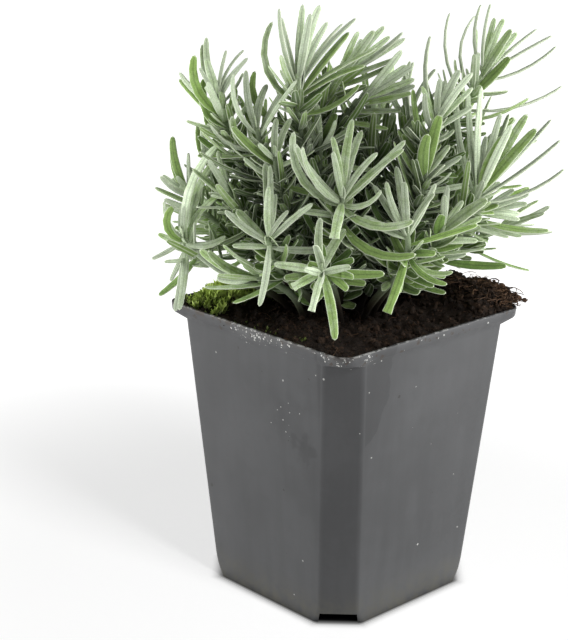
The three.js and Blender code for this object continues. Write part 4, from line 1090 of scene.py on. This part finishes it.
def place_fine_leaves(room):
    """Leaves that only the finished plant shows: the bud of each shoot, the small ones that grow in the
    axils of the pairs, and the older ones that close the bush further in."""
    for own, shoot in enumerate(SHOOTS):
        draw = seeded(shoot.seed + 500)
        line = room.lines[own]
        total = arc_length(line)
        distance = 0.2
        while distance < total - FINE_FOOT:
            low = min(1.0, distance / 40)
            bud = distance < 2.5
            for turn in range(5):
                j = [draw() for _ in range(8)]
                long = 5.5 + 1.5 * j[0] if bud else 10 + 6 * low + (5 + 4 * low) * j[0]
                spread = 14 + 12 * j[1] if bud else 44 + 24 * low + 24 * j[1]
                for share in (1, 0.72):
                    leaf = ring_leaf(
                        back(line, distance + j[7] + 1),
                        shoot.phase + 72 * turn + 36 * j[2] + 37 * distance,
                        spread, long * share, 22 + 25 * j[3], 15 * j[4], 30 * j[5],
                        1.9 + (0.085 + 0.035 * low) * long + 0.25 * j[6], distance,
                    )
                    way = unit(leaf.path[-1] - leaf.path[0])
                    shown = way @ TOWARD > -0.25 or way @ UPPER < -0.3
                    if shoot.leaves and line[-1][1] < FOREMOST and shown and not bud:
                        continue
                    if not over_skirt(leaf, SKIRT + (16 if leaf.path[-1][0] > 8 else 3), HEART):
                        continue
                    if room.fits(own, leaf, *FINE_GAPS):
                        leaf.green = min(1.0, 0.02 + 1.0 * low + 0.2 * j[6])
                        room.keep(own, leaf)
                        break
            distance += 1.9 if distance > 2 else 1.1


def place_inner_leaves(room):
    """Short dark leaves that stand close in the heart of the bush, where nothing shows between them."""
    for own, shoot in enumerate(SHOOTS):
        draw = seeded(shoot.seed + 700)
        line = room.lines[own]
        total = arc_length(line)
        distance = 9.0
        while distance < total - INNER_FOOT:
            seat = back(line, distance)
            if depth(seat[0]) > 0.08:
                for turn in range(8):
                    j = [draw() for _ in range(6)]
                    leaf = ring_leaf(
                        seat, shoot.phase + 45 * turn + 24 * j[0] + 29 * distance, 60 + 26 * j[1],
                        11 + 4.5 * j[2], 20 + 20 * j[3], 12 * j[4], 40 * j[5], 3.6, distance,
                    )
                    if not over_skirt(leaf, SKIRT + 3, HEART):
                        continue
                    if depth(leaf.path[-1]) > 0.05 and room.fits(own, leaf, *INNER_GAPS):
                        leaf.green = 0.62 + 0.3 * j[0]
                        room.keep(own, leaf)
            distance += 2.0


def grow():
    """The stems' lines and the leaves of each shoot."""
    room = Room([stem_line(shoot) for shoot in SHOOTS])
    place_front_leaves(room)
    place_pairs(room)
    place_fine_leaves(room)
    place_inner_leaves(room)
    for own, shoot in enumerate(SHOOTS):
        draw = seeded(shoot.seed + 900)
        for leaf in room.kept[own]:
            leaf.tone = 0.5 + 0.5 * draw() if leaf.distance > 2.5 or leaf.length > 8 else 1.0
            if leaf.edgewise:
                leaf.green, leaf.tone = 0.06, 0.1
            if leaf.green is None:
                grey = 0.10 if leaf.read else 0.0
                leaf.green = max(0.0, 0.05 + 0.032 * leaf.distance + 0.20 * draw() - grey)
    return room


# ---- the pot ---------------------------------------------------------------------------------

NOTCH_DEEP, NOTCH_WIDE = 0.012, 0.0148  # of the box that cuts a notch, along its corner's heading
LEG_INSIDE = 2 - math.sqrt(2)  # how much a chamfer's leg loses for each unit of wall
CORNERS = [math.radians(45 + 90 * quarter) for quarter in range(4)]  # their headings from the axis


def outline(z, half, leg=0.0, soft=0.0, radius=0.0):
    """Adds a level outline to the mesh being edited: a square with its corners cut or rounded."""
    bpy.ops.mesh.select_all(action="DESELECT")
    bpy.ops.mesh.primitive_plane_add(size=2 * half, location=(0, 0, z))
    if radius:
        bpy.ops.mesh.bevel(affect="VERTICES", offset=radius, segments=7)
    else:
        bpy.ops.mesh.bevel(affect="VERTICES", offset=leg, segments=1)
        bpy.ops.mesh.bevel(affect="VERTICES", offset=soft, segments=3)
    bpy.ops.mesh.delete(type="ONLY_FACE")


def pot_outlines(look):
    """Every outline of the pot in order, from the underside of its floor, up the outside, over the
    rim and down the inside to the top of its floor."""
    under = HEIGHT - look.band
    below = under - look.shoulder
    w = look.wall

    def half(z):
        return look.foot + (look.mouth - look.foot) * z / below

    def leg(z):
        along = look.chamfer_foot + (look.chamfer_mouth - look.chamfer_foot) * z / HEIGHT
        return along + look.tuck * max(0.0, 1 - z / 0.008) ** 2

    def outside(z):
        return dict(z=z, half=half(z), leg=leg(z), soft=look.soft)

    def inside(z, more=0.0):
        return dict(z=z, half=half(z) - w - more, leg=leg(z) - LEG_INSIDE * w, soft=look.soft)

    def round_corners(z, inset, radius):
        return dict(z=z, half=RIM - inset, radius=look.rim_radius - radius)

    return [
        inside(look.plate, 0.0003), inside(0.0006, 0.0),
        *[outside(z) for z in (0.0, 0.0012, 0.0028, 0.0048, 0.008, 0.012, below - 0.0012, below)],
        round_corners(under - 0.0002, 0.0005, 0.0), round_corners(under + 0.0004, 0.0002, 0.0),
        round_corners(HEIGHT - 0.0006, 0.0, 0.0), round_corners(HEIGHT - 0.0002, 0.0001, 0.0001),
        round_corners(HEIGHT, 0.0004, 0.0003), round_corners(HEIGHT - 0.0001, w - 0.0003, 0.0008),
        round_corners(HEIGHT - 0.0003, w, 0.0009), round_corners(under, w + 0.00025, 0.001),
        inside(below - 0.0006), inside(0.009), inside(look.plate + w, 0.0004),
    ]


def build_pot(look):
    """The pot: its outlines bridged in order, then the notches and the drain holes cut out."""
    clear_selection()
    bpy.ops.mesh.primitive_plane_add(size=1)
    pot = bpy.context.object
    edit(pot)
    bpy.ops.mesh.delete(type="VERT")
    outlines = pot_outlines(look)
    for number_of_ring, ring in enumerate(outlines):
        outline(**ring)
        shape = bmesh.from_edit_mesh(pot.data)
        tag = shape.verts.layers.int.get("ring") or shape.verts.layers.int.new("ring")
        for vertex in shape.verts:
            if vertex[tag] == 0:
                vertex[tag] = number_of_ring + 1
        bmesh.update_edit_mesh(pot.data)
    for low in range(1, len(outlines)):
        tag = bmesh.from_edit_mesh(pot.data).verts.layers.int["ring"]
        pick(pot, lambda vertex: vertex[tag] in (low, low + 1))
        bpy.ops.mesh.bridge_edge_loops()
    for end in (1, len(outlines)):
        tag = bmesh.from_edit_mesh(pot.data).verts.layers.int["ring"]
        pick(pot, lambda vertex: vertex[tag] == end)
        bpy.ops.mesh.edge_face_add()
    bpy.ops.mesh.select_all(action="SELECT")
    bpy.ops.mesh.normals_make_consistent(inside=False)
    clear_selection()
    pot.data.attributes.remove(pot.data.attributes["ring"])

    corner = (look.foot - look.chamfer_foot / 2) * math.sqrt(2)
    for a in CORNERS:
        bpy.ops.mesh.primitive_cube_add(
            size=1, location=(corner * math.cos(a), corner * math.sin(a), 0), rotation=(0, 0, a),
            scale=(NOTCH_DEEP, NOTCH_WIDE, look.notch * 2),
        )
        cutter = bpy.context.object
        edit(cutter)
        pick(cutter, lambda vertex: vertex.co.z > 0)
        bpy.ops.transform.resize(value=(1, 0.88, 1), orient_type="LOCAL")
        cut_away(pot, cutter)
        hole = (look.drain_place * math.cos(a), look.drain_place * math.sin(a), look.plate)
        bpy.ops.mesh.primitive_cylinder_add(vertices=24, radius=look.drain, depth=0.02, location=hole)
        cut_away(pot, bpy.context.object)
    pot.location = AXIS
    settle(pot, "nursery_pot", "pot_plastic", nursery_plastic(look), smooth=32)
    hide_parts("pot")
    return pot


# ---- peat, fibres and moss -------------------------------------------------------------------

BED = 0.0434  # half width of the bed inside the rim band
BED_CORNER = 0.0026  # how far in, along each side, the bed's corners are cut
BED_FLOOR = 0.1007  # underside of the bed, which closes it just under its surface
BED_CELLS = 150
MOSS_MOUND = (-0.031, -0.026, 0.0068, 0.00009)  # x, y, height, square of its spread


def outward(x, y, corner=0.003):
    """How far out a place in the pot is, counted square to its walls and across its cut corners."""
    return max(abs(x), abs(y), (abs(x) + abs(y) + corner) / 2)


def bed_height(x, y):
    """Height of the peat in metres at a place in the pot's frame, held down at the wall."""
    mx, my, high, spread = MOSS_MOUND
    top = float(soil_top(x / MM, y / MM)) * MM + 0.0006
    top += 0.0013 * noise.fractal(Vector((x, y, 0)) * 210, 0.9, 2.1, 4)  # lumps
    top += 0.0006 * noise.fractal(Vector((x, y, 7)) * 900, 0.8, 2.1, 3)  # grains
    top += high * math.exp(-((x - mx) ** 2 + (y - my) ** 2) / spread)
    held = min(1.0, max(0.0, (BED - outward(x, y, 0.0045)) / 0.006))
    return max(BED_FLOOR + 0.0004, min(top, HEIGHT - 0.0016 + 0.011 * held))


def build_bed(look, material):
    """The peat's surface, a grid raised to its height and closed underneath."""
    clear_selection()
    bpy.ops.mesh.primitive_grid_add(
        x_subdivisions=BED_CELLS, y_subdivisions=BED_CELLS, size=2 * BED, location=(0, 0, BED_FLOOR)
    )
    bed = bpy.context.object
    bpy.ops.object.transform_apply(location=True)
    edit(bed)
    for a in CORNERS:
        way = Vector((math.cos(a), math.sin(a), 0))
        reach = (BED - BED_CORNER) * math.sqrt(2)
        bpy.ops.mesh.select_all(action="SELECT")
        bpy.ops.mesh.bisect(plane_co=way * reach, plane_no=way, clear_outer=True)
    clear_selection()
    for vertex in bed.data.vertices:
        vertex.co.z = bed_height(vertex.co.x, vertex.co.y)
    edit(bed)
    bpy.ops.mesh.select_all(action="DESELECT")
    bpy.ops.mesh.select_non_manifold()
    bpy.ops.mesh.extrude_region_move(TRANSFORM_OT_translate={"value": (0, 0, -0.002)})
    bpy.ops.transform.resize(value=(1, 1, 0), center_override=(0, 0, BED_FLOOR))
    bpy.ops.mesh.edge_face_add()
    clear_selection()
    bed.location = AXIS
    dry = bed.data.attributes.new("dry", "FLOAT", "POINT")
    dry.data.foreach_set("value", [0.02] * len(bed.data.vertices))
    settle(bed, "peat_bed", "peat", material, smooth=60)
    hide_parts("soil")


def scattered(draw, amount, heaped):
    """Places on the bed, in the pot's frame. A heaped share of them lies where the peat is heaped up."""
    places = []
    while len(places) < amount:
        if part(draw) < heaped:
            mx, my, _, wide = MOUNDS[int(part(draw) * 1.999)]
            spread = (draw() + draw()) * wide * 0.8, (draw() + draw()) * wide * 0.8
            x, y = (mx + spread[0]) * MM, (my + spread[1]) * MM
        else:
            x, y = draw() * BED, draw() * BED
        if outward(x, y) < BED + 0.001:
            places.append((x, y))
    return places


def build_crumbs(look, material):
    """Loose crumbs, most of them small, and a dry ridge of larger ones on the rim."""
    clear_selection()
    bpy.ops.mesh.primitive_ico_sphere_add(subdivisions=1, radius=1)
    crumb = Template(bpy.context.object)
    draw = seeded(71)
    heap = Heap()

    def crumb_at(place, radius, dry):
        way = np.array(Euler((draw() * 3, draw() * 3, draw() * 3)).to_matrix())
        rough = 1 + 0.28 * np.array([draw() for _ in range(len(crumb.points))])[:, None]
        stretch = np.array([1 + 0.5 * draw(), 1 + 0.4 * draw(), 0.75 + 0.2 * draw()])
        points = (crumb.points * rough * stretch * radius) @ way.T
        heap.add(points + np.array(place) + np.array(AXIS), crumb.faces, dry=max(0.0, dry))

    for x, y in scattered(draw, look.crumbs, 0.42):
        radius = (0.28 + 0.9 * part(draw) ** 5 + 0.35 * part(draw)) * MM
        crumb_at((x, y, bed_height(x, y) + radius * 0.25), radius, 0.08 + 0.16 * draw())
    for _ in range(look.crumbs // 6):
        side, out = 0.026 + 0.017 * draw(), 0.0425 + 0.0065 * draw()
        fall = max(0.0, (out - 0.0435) / 0.0055)
        crest = 0.0062 * (1 - fall * fall) * (0.6 + 0.4 * math.cos((side - 0.030) * 150))
        radius = (0.55 + 0.75 * part(draw) ** 2) * MM
        place = (side, out, HEIGHT + 0.0006 + crest * (0.62 + 0.38 * draw()))
        crumb_at(place, radius, 0.34 + 0.30 * draw())
    heap.piece("peat_crumbs", "peat", material, smooth=0)


def fibre_path(draw, at, long, curl, steps=6):
    """A curl that climbs out of the peat from a place and comes down again."""
    heading = math.pi * draw()
    bendy = curl * draw()
    rise = 0.45 + 0.5 * draw()
    path = [at]
    for i in range(steps):
        a = heading + bendy * i / steps
        climb = rise * (1 - i / 3.2)
        path.append(path[-1] + np.array([math.cos(a), math.sin(a), climb]) * long / steps)
    return np.array(path)


def build_fibres(look, material):
    """Fine fibres all over the peat, and stouter curly roots at its heaped corner."""
    strand = Template(prism(4, [0, 0.2, 0.4, 0.6, 0.8, 1]))
    draw = seeded(83)
    heap = Heap()
    places = [(x, y, bed_height(x, y) - 0.0004, 1.6, 1.0) for x, y in scattered(draw, look.fibres, 0.55)]
    for _ in range(look.fibres // 2):
        x, y = 0.036 + 0.010 * draw(), 0.038 + 0.008 * draw()
        places.append((x, y, max(bed_height(x, y), HEIGHT + 0.003 + 0.002 * draw()), 4.2, 1.7))
    for x, y, z, curl, stout in places:
        long = (4.5 + 3.5 * draw()) * MM
        path = fibre_path(draw, np.array([x, y, z]), long, curl)
        if path[:, :2].max() > RIM + 0.0025 or path[:, :2].min() < -BED:
            continue
        path = path + np.array(AXIS)
        along = unit(np.gradient(path, axis=0))
        across = unit(np.cross(along, [0, 0, 1]))
        thick = np.full(len(strand.points), (0.075 + 0.045 * draw()) * stout * MM)
        points = bend(strand.points, path, across, np.cross(across, along), thick, thick)
        heap.add(points, strand.faces, dry=(0.50 + 0.35 * draw()) * min(stout, 1.25))
    heap.piece("peat_fibres", "peat", material, smooth=60)


def moss_shoot():
    """One moss shoot, one unit high: a thin stem with pointed leaves in a spiral."""
    clear_selection()
    bpy.ops.mesh.primitive_cone_add(vertices=3, radius1=0.05, radius2=0, depth=1, location=(0, 0, 0.5))
    shoot = bpy.context.object
    edit(shoot)
    for i in range(13):
        turned = math.radians(137.5 * i)
        lean = math.radians(62 - 3.2 * i)
        long = 0.40 - 0.012 * i
        out = long / 2 * math.sin(lean)
        high = 0.18 + 0.06 * i + long / 2 * math.cos(lean)
        bpy.ops.mesh.primitive_cone_add(
            vertices=3, radius1=0.075, radius2=0, depth=long,
            location=(out * math.cos(turned), out * math.sin(turned), high), rotation=(0, lean, turned),
        )
    return Template(shoot)


def build_moss(look, material):
    """Most of the moss is one cushion by the left corner. The rest is short, along the front wall."""
    shoot = moss_shoot()
    draw = seeded(97)
    heap = Heap()
    made = 0
    while made < look.moss:
        cushion = draw() < 0.84
        if cushion:
            x, y = -33 + 5.5 * (draw() + draw()), -26 + 7.5 * (draw() + draw())
        else:
            x, y = -10 + 30 * draw(), -39 + 4.5 * draw()
        tall = (5.2 + 2.2 * draw()) * (1.0 if cushion else 0.42)
        x, y = x * MM, y * MM
        if outward(x, y) > BED - 0.0006:
            continue
        made += 1
        way = np.array(Euler((0.4 * draw(), 0.4 * draw(), 3.1 * draw())).to_matrix())
        points = (shoot.points * [1.35, 1.35, 1.0] * tall * MM) @ way.T
        points = points + np.array([x, y, bed_height(x, y) - 0.0004]) + np.array(AXIS)
        tone = part(draw) * (1.0 if cushion else 0.0)
        # The short moss keeps to the dark foot of that scale: partly its own colour, partly painted shade.
        along = np.clip(shoot.points[:, 2], 0, 1) * (1.0 if cushion else 0.45)
        heap.add(points, shoot.faces, along=along, tone=tone)
    heap.piece("moss", "peat", material, smooth=0)


# ---- leaves and stems ------------------------------------------------------------------------

STATIONS = [0, 0.12, 0.28, 0.46, 0.64, 0.80, 0.91, 0.97, 1]


def leaf_blade():
    """One leaf, flat along +Y: edges rolled under, a groove along its face, a keel and a round tip."""
    blade = prism(10, STATIONS)
    bpy.ops.mesh.select_all(action="SELECT")
    bpy.ops.transform.resize(value=(1, 1, 0.5))
    pick(blade, lambda v: abs(v.co.x) < 0.1 and v.co.z > 0)  # the groove
    bpy.ops.transform.translate(value=(0, 0, -0.42))
    pick(blade, lambda v: 0.1 < abs(v.co.x) < 0.7 and v.co.z < 0)  # beside the keel
    bpy.ops.transform.translate(value=(0, 0, 0.22))
    pick(blade, lambda v: abs(v.co.x) > 0.9)  # the edges
    bpy.ops.transform.translate(value=(0, 0, -0.16))
    pick(blade, lambda v: v.co.y > 0.99)  # the tip
    bpy.ops.mesh.merge(type="CENTER")
    return Template(blade)


def leaf_points(blade, leaf, thickness):
    """The blade bent along a leaf of the plan. A cut leaf ends square."""
    along = np.minimum(blade.points[:, 1], 0.93) if leaf.cut else blade.points[:, 1]
    wide = np.where(along > 0.86, 1.0, breadth(along)) if leaf.cut else np.maximum(breadth(along), 0.16)
    points = np.column_stack([blade.points[:, 0], along, blade.points[:, 2]])
    half = wide * leaf.width / 2
    thick = thickness / MM * (0.55 + 0.45 * wide) * min(1.0, 0.45 + leaf.width / 6)
    thick = thick * (1.55 if leaf.edgewise else 1.0)
    return bend(points, leaf.path, leaf.across, leaf.up, half, np.broadcast_to(thick, len(along)))


def stem_frames(line):
    """Two directions square to a stem at each of its points, with as little twist as can be."""
    along = unit(np.gradient(line, axis=0))
    across = unit(np.cross(along, ACROSS))
    return across, np.cross(along, across)


def build_shoots(look):
    """Each shoot as one piece: its stem, then its leaves. Returns the number of leaves."""
    blade = leaf_blade()
    rod = Template(prism(8, np.linspace(0, 1, 25).tolist()))
    materials = [felted_leaf(look), woody_stem(look)]
    room = grow()
    flat = np.abs(blade.points[:, 0])
    face = np.where(blade.points[:, 2] > 0, 1.0, 0.0)
    face[flat > 0.9] = 0.5
    for shoot, line, leaves in zip(SHOOTS, room.lines, room.kept):
        heap = Heap()
        across, up = stem_frames(line)
        share = rod.points[:, 1]
        square = np.where(np.abs(np.abs(rod.points[:, 0]) - 0.707) < 0.1, 1.0, 0.86)
        knots = 1 + 0.10 * np.maximum(0, np.cos(share * 150))  # swellings where the pairs grow
        half = (look.stem_foot + (look.stem_tip - look.stem_foot) * share) / MM * square * knots
        half = half * np.where(share > 0.985, 0.55, 1.0)
        points = bend(rod.points, line, across, up, half, half)
        # Each point's depth goes to the materials, which paint shade by it.
        heap.add(
            in_row(points), rod.faces, kind=1, across=0.0, along=share,
            face=0.0, green=0.0, tone=0.5, depth=depth(points),
        )
        for item in leaves:
            points = leaf_points(blade, item, look.blade)
            heap.add(
                in_row(points), blade.faces, across=blade.points[:, 0], along=blade.points[:, 1],
                face=face, green=item.green, tone=item.tone, depth=depth(points),
            )
        piece = heap.piece("lavender_" + shoot.name, "foliage", *materials)
        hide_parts("sprig_" + shoot.name)
    return sum(len(kept) for kept in room.kept)


# ---- studio ----------------------------------------------------------------------------------

# The floor's glow is painted light: it grows away from the pot so that the far end of the lamp's shadow is
# lighter.
FAR_GLOW = 1.05  # brightness of the floor where it is far from the pot
NEAR_REACH, FAR_REACH = 0.105, 0.33  # distances from the axis between which the glow grows
FOOT_SIDE, FOOT_CORNER = 0.0357, 0.0612  # half width of the pot's foot, and x + y at its cut corners
PAINTED_SHADOW_UNDER_POT = (0.015, 0.015, 0.015)  # painted shadow: the dark floor under the pot, which the notches show


def build_floor(look):
    """A pale floor that glows, more so far from the pot, which paints the far shadow lighter. It is painted
    dark under the pot, and its glow stops round the foot, as painted shadow.
    """
    clear_selection()
    bpy.ops.mesh.primitive_circle_add(vertices=96, radius=4, fill_type="NGON")
    floor = bpy.context.object
    floor.name = "studio_floor"
    floor.location = AXIS
    material, w, shader = new_material("pale_floor", Roughness=0.9, Specular_IOR_Level=0.1)
    w.feed(shader["Emission Color"], (1, 1, 1))
    here = w.place()
    x, y, _ = w.axes(here)
    x, y = w.unsigned(x), w.unsigned(y)
    past_side = w.minus(w.most(x, y), FOOT_SIDE)
    past_corner = w.times(w.minus(w.plus(x, y), FOOT_CORNER), 0.7)
    open_floor = w.span(w.most(past_side, past_corner), -0.0004, 0.0016)
    # Painted shadow: the floor is dark under the pot.
    w.feed(shader["Base Color"], w.mix(open_floor, PAINTED_SHADOW_UNDER_POT, tuple(look.floor)))
    # Painted contact shadow: no glow close round the foot.
    past_painted_contact_shadow = w.span(w.most(x, y, w.times(w.plus(x, y), 0.6)), 0.0345, 0.0405)
    glow = w.span(w.length(here), NEAR_REACH, FAR_REACH, look.glow, FAR_GLOW)
    w.feed(shader["Emission Strength"], w.times(past_painted_contact_shadow, glow))
    floor.data.materials.append(material)


def soft_light(name, look, azimuth, elevation, distance, size, power, height=0.09):
    """A round light that faces the plant: degrees round it from the camera and over the floor, then
    its distance, its own size and the height that it faces, in metres."""
    a = look.azimuth + math.radians(azimuth)
    e = math.radians(elevation)
    way = Vector((math.sin(a) * math.cos(e), -math.cos(a) * math.cos(e), math.sin(e)))
    data = bpy.data.lights.new(name, "AREA")
    data.shape, data.size, data.energy = "DISK", size, power
    lamp = bpy.data.objects.new(name, data)
    bpy.context.scene.collection.objects.link(lamp)
    lamp.location = AXIS + Vector((0, 0, height)) + way * distance
    lamp.rotation_euler = (-way).to_track_quat("-Z", "Y").to_euler()
    return lamp


def build_lights(look):
    """The lamp throws the one soft shadow on the floor. The others light the plant and the pot only."""
    soft_light("lamp", look, 40, 38, 1.2, 0.36, look.lamp, height=0.06)
    subject = bpy.data.collections.new("subject")
    for piece in bpy.context.scene.objects:
        if piece.type == "MESH" and piece.name != "studio_floor":
            subject.objects.link(piece)
    for lamp in (
        soft_light("right_light", look, 84, 18, 0.55, 0.45, look.right),
        soft_light("left_light", look, -86, 18, 0.55, 0.45, look.left),
        soft_light("top_light", look, 165, 72, 1.0, 0.8, look.top),
    ):
        lamp.light_linking.receiver_collection = subject
    world = bpy.data.worlds.new("studio_sky")
    world.use_nodes = True
    w = Wiring(world.node_tree)
    sky = next(n for n in world.node_tree.nodes if n.type == "BACKGROUND")
    seen = w.node("ShaderNodeLightPath", {}).outputs["Is Camera Ray"]
    sky.inputs["Color"].default_value = (1, 1, 1, 1)
    w.feed(sky.inputs["Strength"], w.span(seen, 0, 1, look.sky, 1.0))
    bpy.context.scene.world = world
    bpy.context.scene.view_settings.view_transform = "Standard"


def build_camera(look):
    """The camera, at its distance from the pot and turned to the place that it is aimed at."""
    a, e, r = look.azimuth, look.elevation, look.roll
    sight = Vector((math.sin(a) * math.cos(e), -math.cos(a) * math.cos(e), math.sin(e)))
    side = Vector((math.cos(a), math.sin(a), 0))
    eye = AXIS + Vector((0, 0, look.middle)) + sight * look.distance
    target = AXIS + Vector((0, 0, look.aim)) - side * look.aside
    data = bpy.data.cameras.new("camera")
    data.lens = look.lens
    data.clip_start, data.clip_end = 0.01, 50
    camera = bpy.data.objects.new("camera", data)
    bpy.context.scene.collection.objects.link(camera)
    camera.location = eye
    camera.rotation_mode = "QUATERNION"
    away = (target - eye).normalized()
    level = away.to_track_quat("-Z", "Y")
    camera.rotation_quaternion = level @ Euler((0, 0, -r)).to_quaternion()
    bpy.context.scene.camera = camera


# ---- add-on ----------------------------------------------------------------------------------


class LAVENDER_OT_pot(bpy.types.Operator):
    """Build the square nursery pot with its rim, chamfers, notches and drain holes"""

    bl_idname = "lavender.pot"
    bl_label = "Nursery pot"

    def execute(self, context):
        build_pot(context.scene.lavender_pot)
        return {"FINISHED"}


class LAVENDER_OT_peat(bpy.types.Operator):
    """Build the bed of peat with its loose crumbs and fibres"""

    bl_idname = "lavender.peat"
    bl_label = "Peat"

    def execute(self, context):
        look = context.scene.lavender_peat
        material = damp_peat(look)
        build_bed(look, material)
        build_crumbs(look, material)
        build_fibres(look, material)
        return {"FINISHED"}


class LAVENDER_OT_moss(bpy.types.Operator):
    """Build the patches of moss on the peat"""

    bl_idname = "lavender.moss"
    bl_label = "Moss"

    def execute(self, context):
        look = context.scene.lavender_peat
        build_moss(look, green_moss(look))
        return {"FINISHED"}


class LAVENDER_OT_shoots(bpy.types.Operator):
    """Grow the leafy shoots, each as one piece of stem and leaves"""

    bl_idname = "lavender.shoots"
    bl_label = "Leafy shoots"

    def execute(self, context):
        made = build_shoots(context.scene.lavender_plant)
        self.report({"INFO"}, f"{made} leaves")
        return {"FINISHED"}


class LAVENDER_OT_studio(bpy.types.Operator):
    """Set the floor, the lights and the camera"""

    bl_idname = "lavender.studio"
    bl_label = "Studio"

    def execute(self, context):
        look = context.scene.lavender_studio
        build_floor(look)
        build_lights(look)
        build_camera(look)
        return {"FINISHED"}


class LAVENDER_PT_panel(bpy.types.Panel):
    bl_idname = "LAVENDER_PT_panel"
    bl_label = "Potted lavender"
    bl_space_type = "VIEW_3D"
    bl_region_type = "UI"
    bl_category = "Lavender"

    def draw(self, context):
        parts = [
            ("lavender_studio", LAVENDER_OT_studio),
            ("lavender_pot", LAVENDER_OT_pot),
            ("lavender_peat", LAVENDER_OT_peat),
            ("lavender_peat", LAVENDER_OT_moss),
            ("lavender_plant", LAVENDER_OT_shoots),
        ]
        shown = set()
        for key, operator in parts:
            settings = getattr(context.scene, key)
            if key not in shown:
                for field in settings.__annotations__:
                    self.layout.prop(settings, field)
            shown.add(key)
            self.layout.operator(operator.bl_idname)


SETTINGS = {
    "lavender_pot": PotSettings,
    "lavender_peat": PeatSettings,
    "lavender_plant": PlantSettings,
    "lavender_studio": StudioSettings,
}
CLASSES = [
    *SETTINGS.values(),
    LAVENDER_OT_pot,
    LAVENDER_OT_peat,
    LAVENDER_OT_moss,
    LAVENDER_OT_shoots,
    LAVENDER_OT_studio,
    LAVENDER_PT_panel,
]


def register():
    for item in CLASSES:
        bpy.utils.register_class(item)
    for key, settings in SETTINGS.items():
        setattr(bpy.types.Scene, key, PointerProperty(type=settings))


def unregister():
    for key in SETTINGS:
        delattr(bpy.types.Scene, key)
    for item in reversed(CLASSES):
        bpy.utils.unregister_class(item)


def main():
    register()
    bpy.ops.lavender.pot()
    bpy.ops.lavender.peat()
    bpy.ops.lavender.moss()
    bpy.ops.lavender.shoots()
    bpy.ops.lavender.studio()


if __name__ == "__main__":
    main()
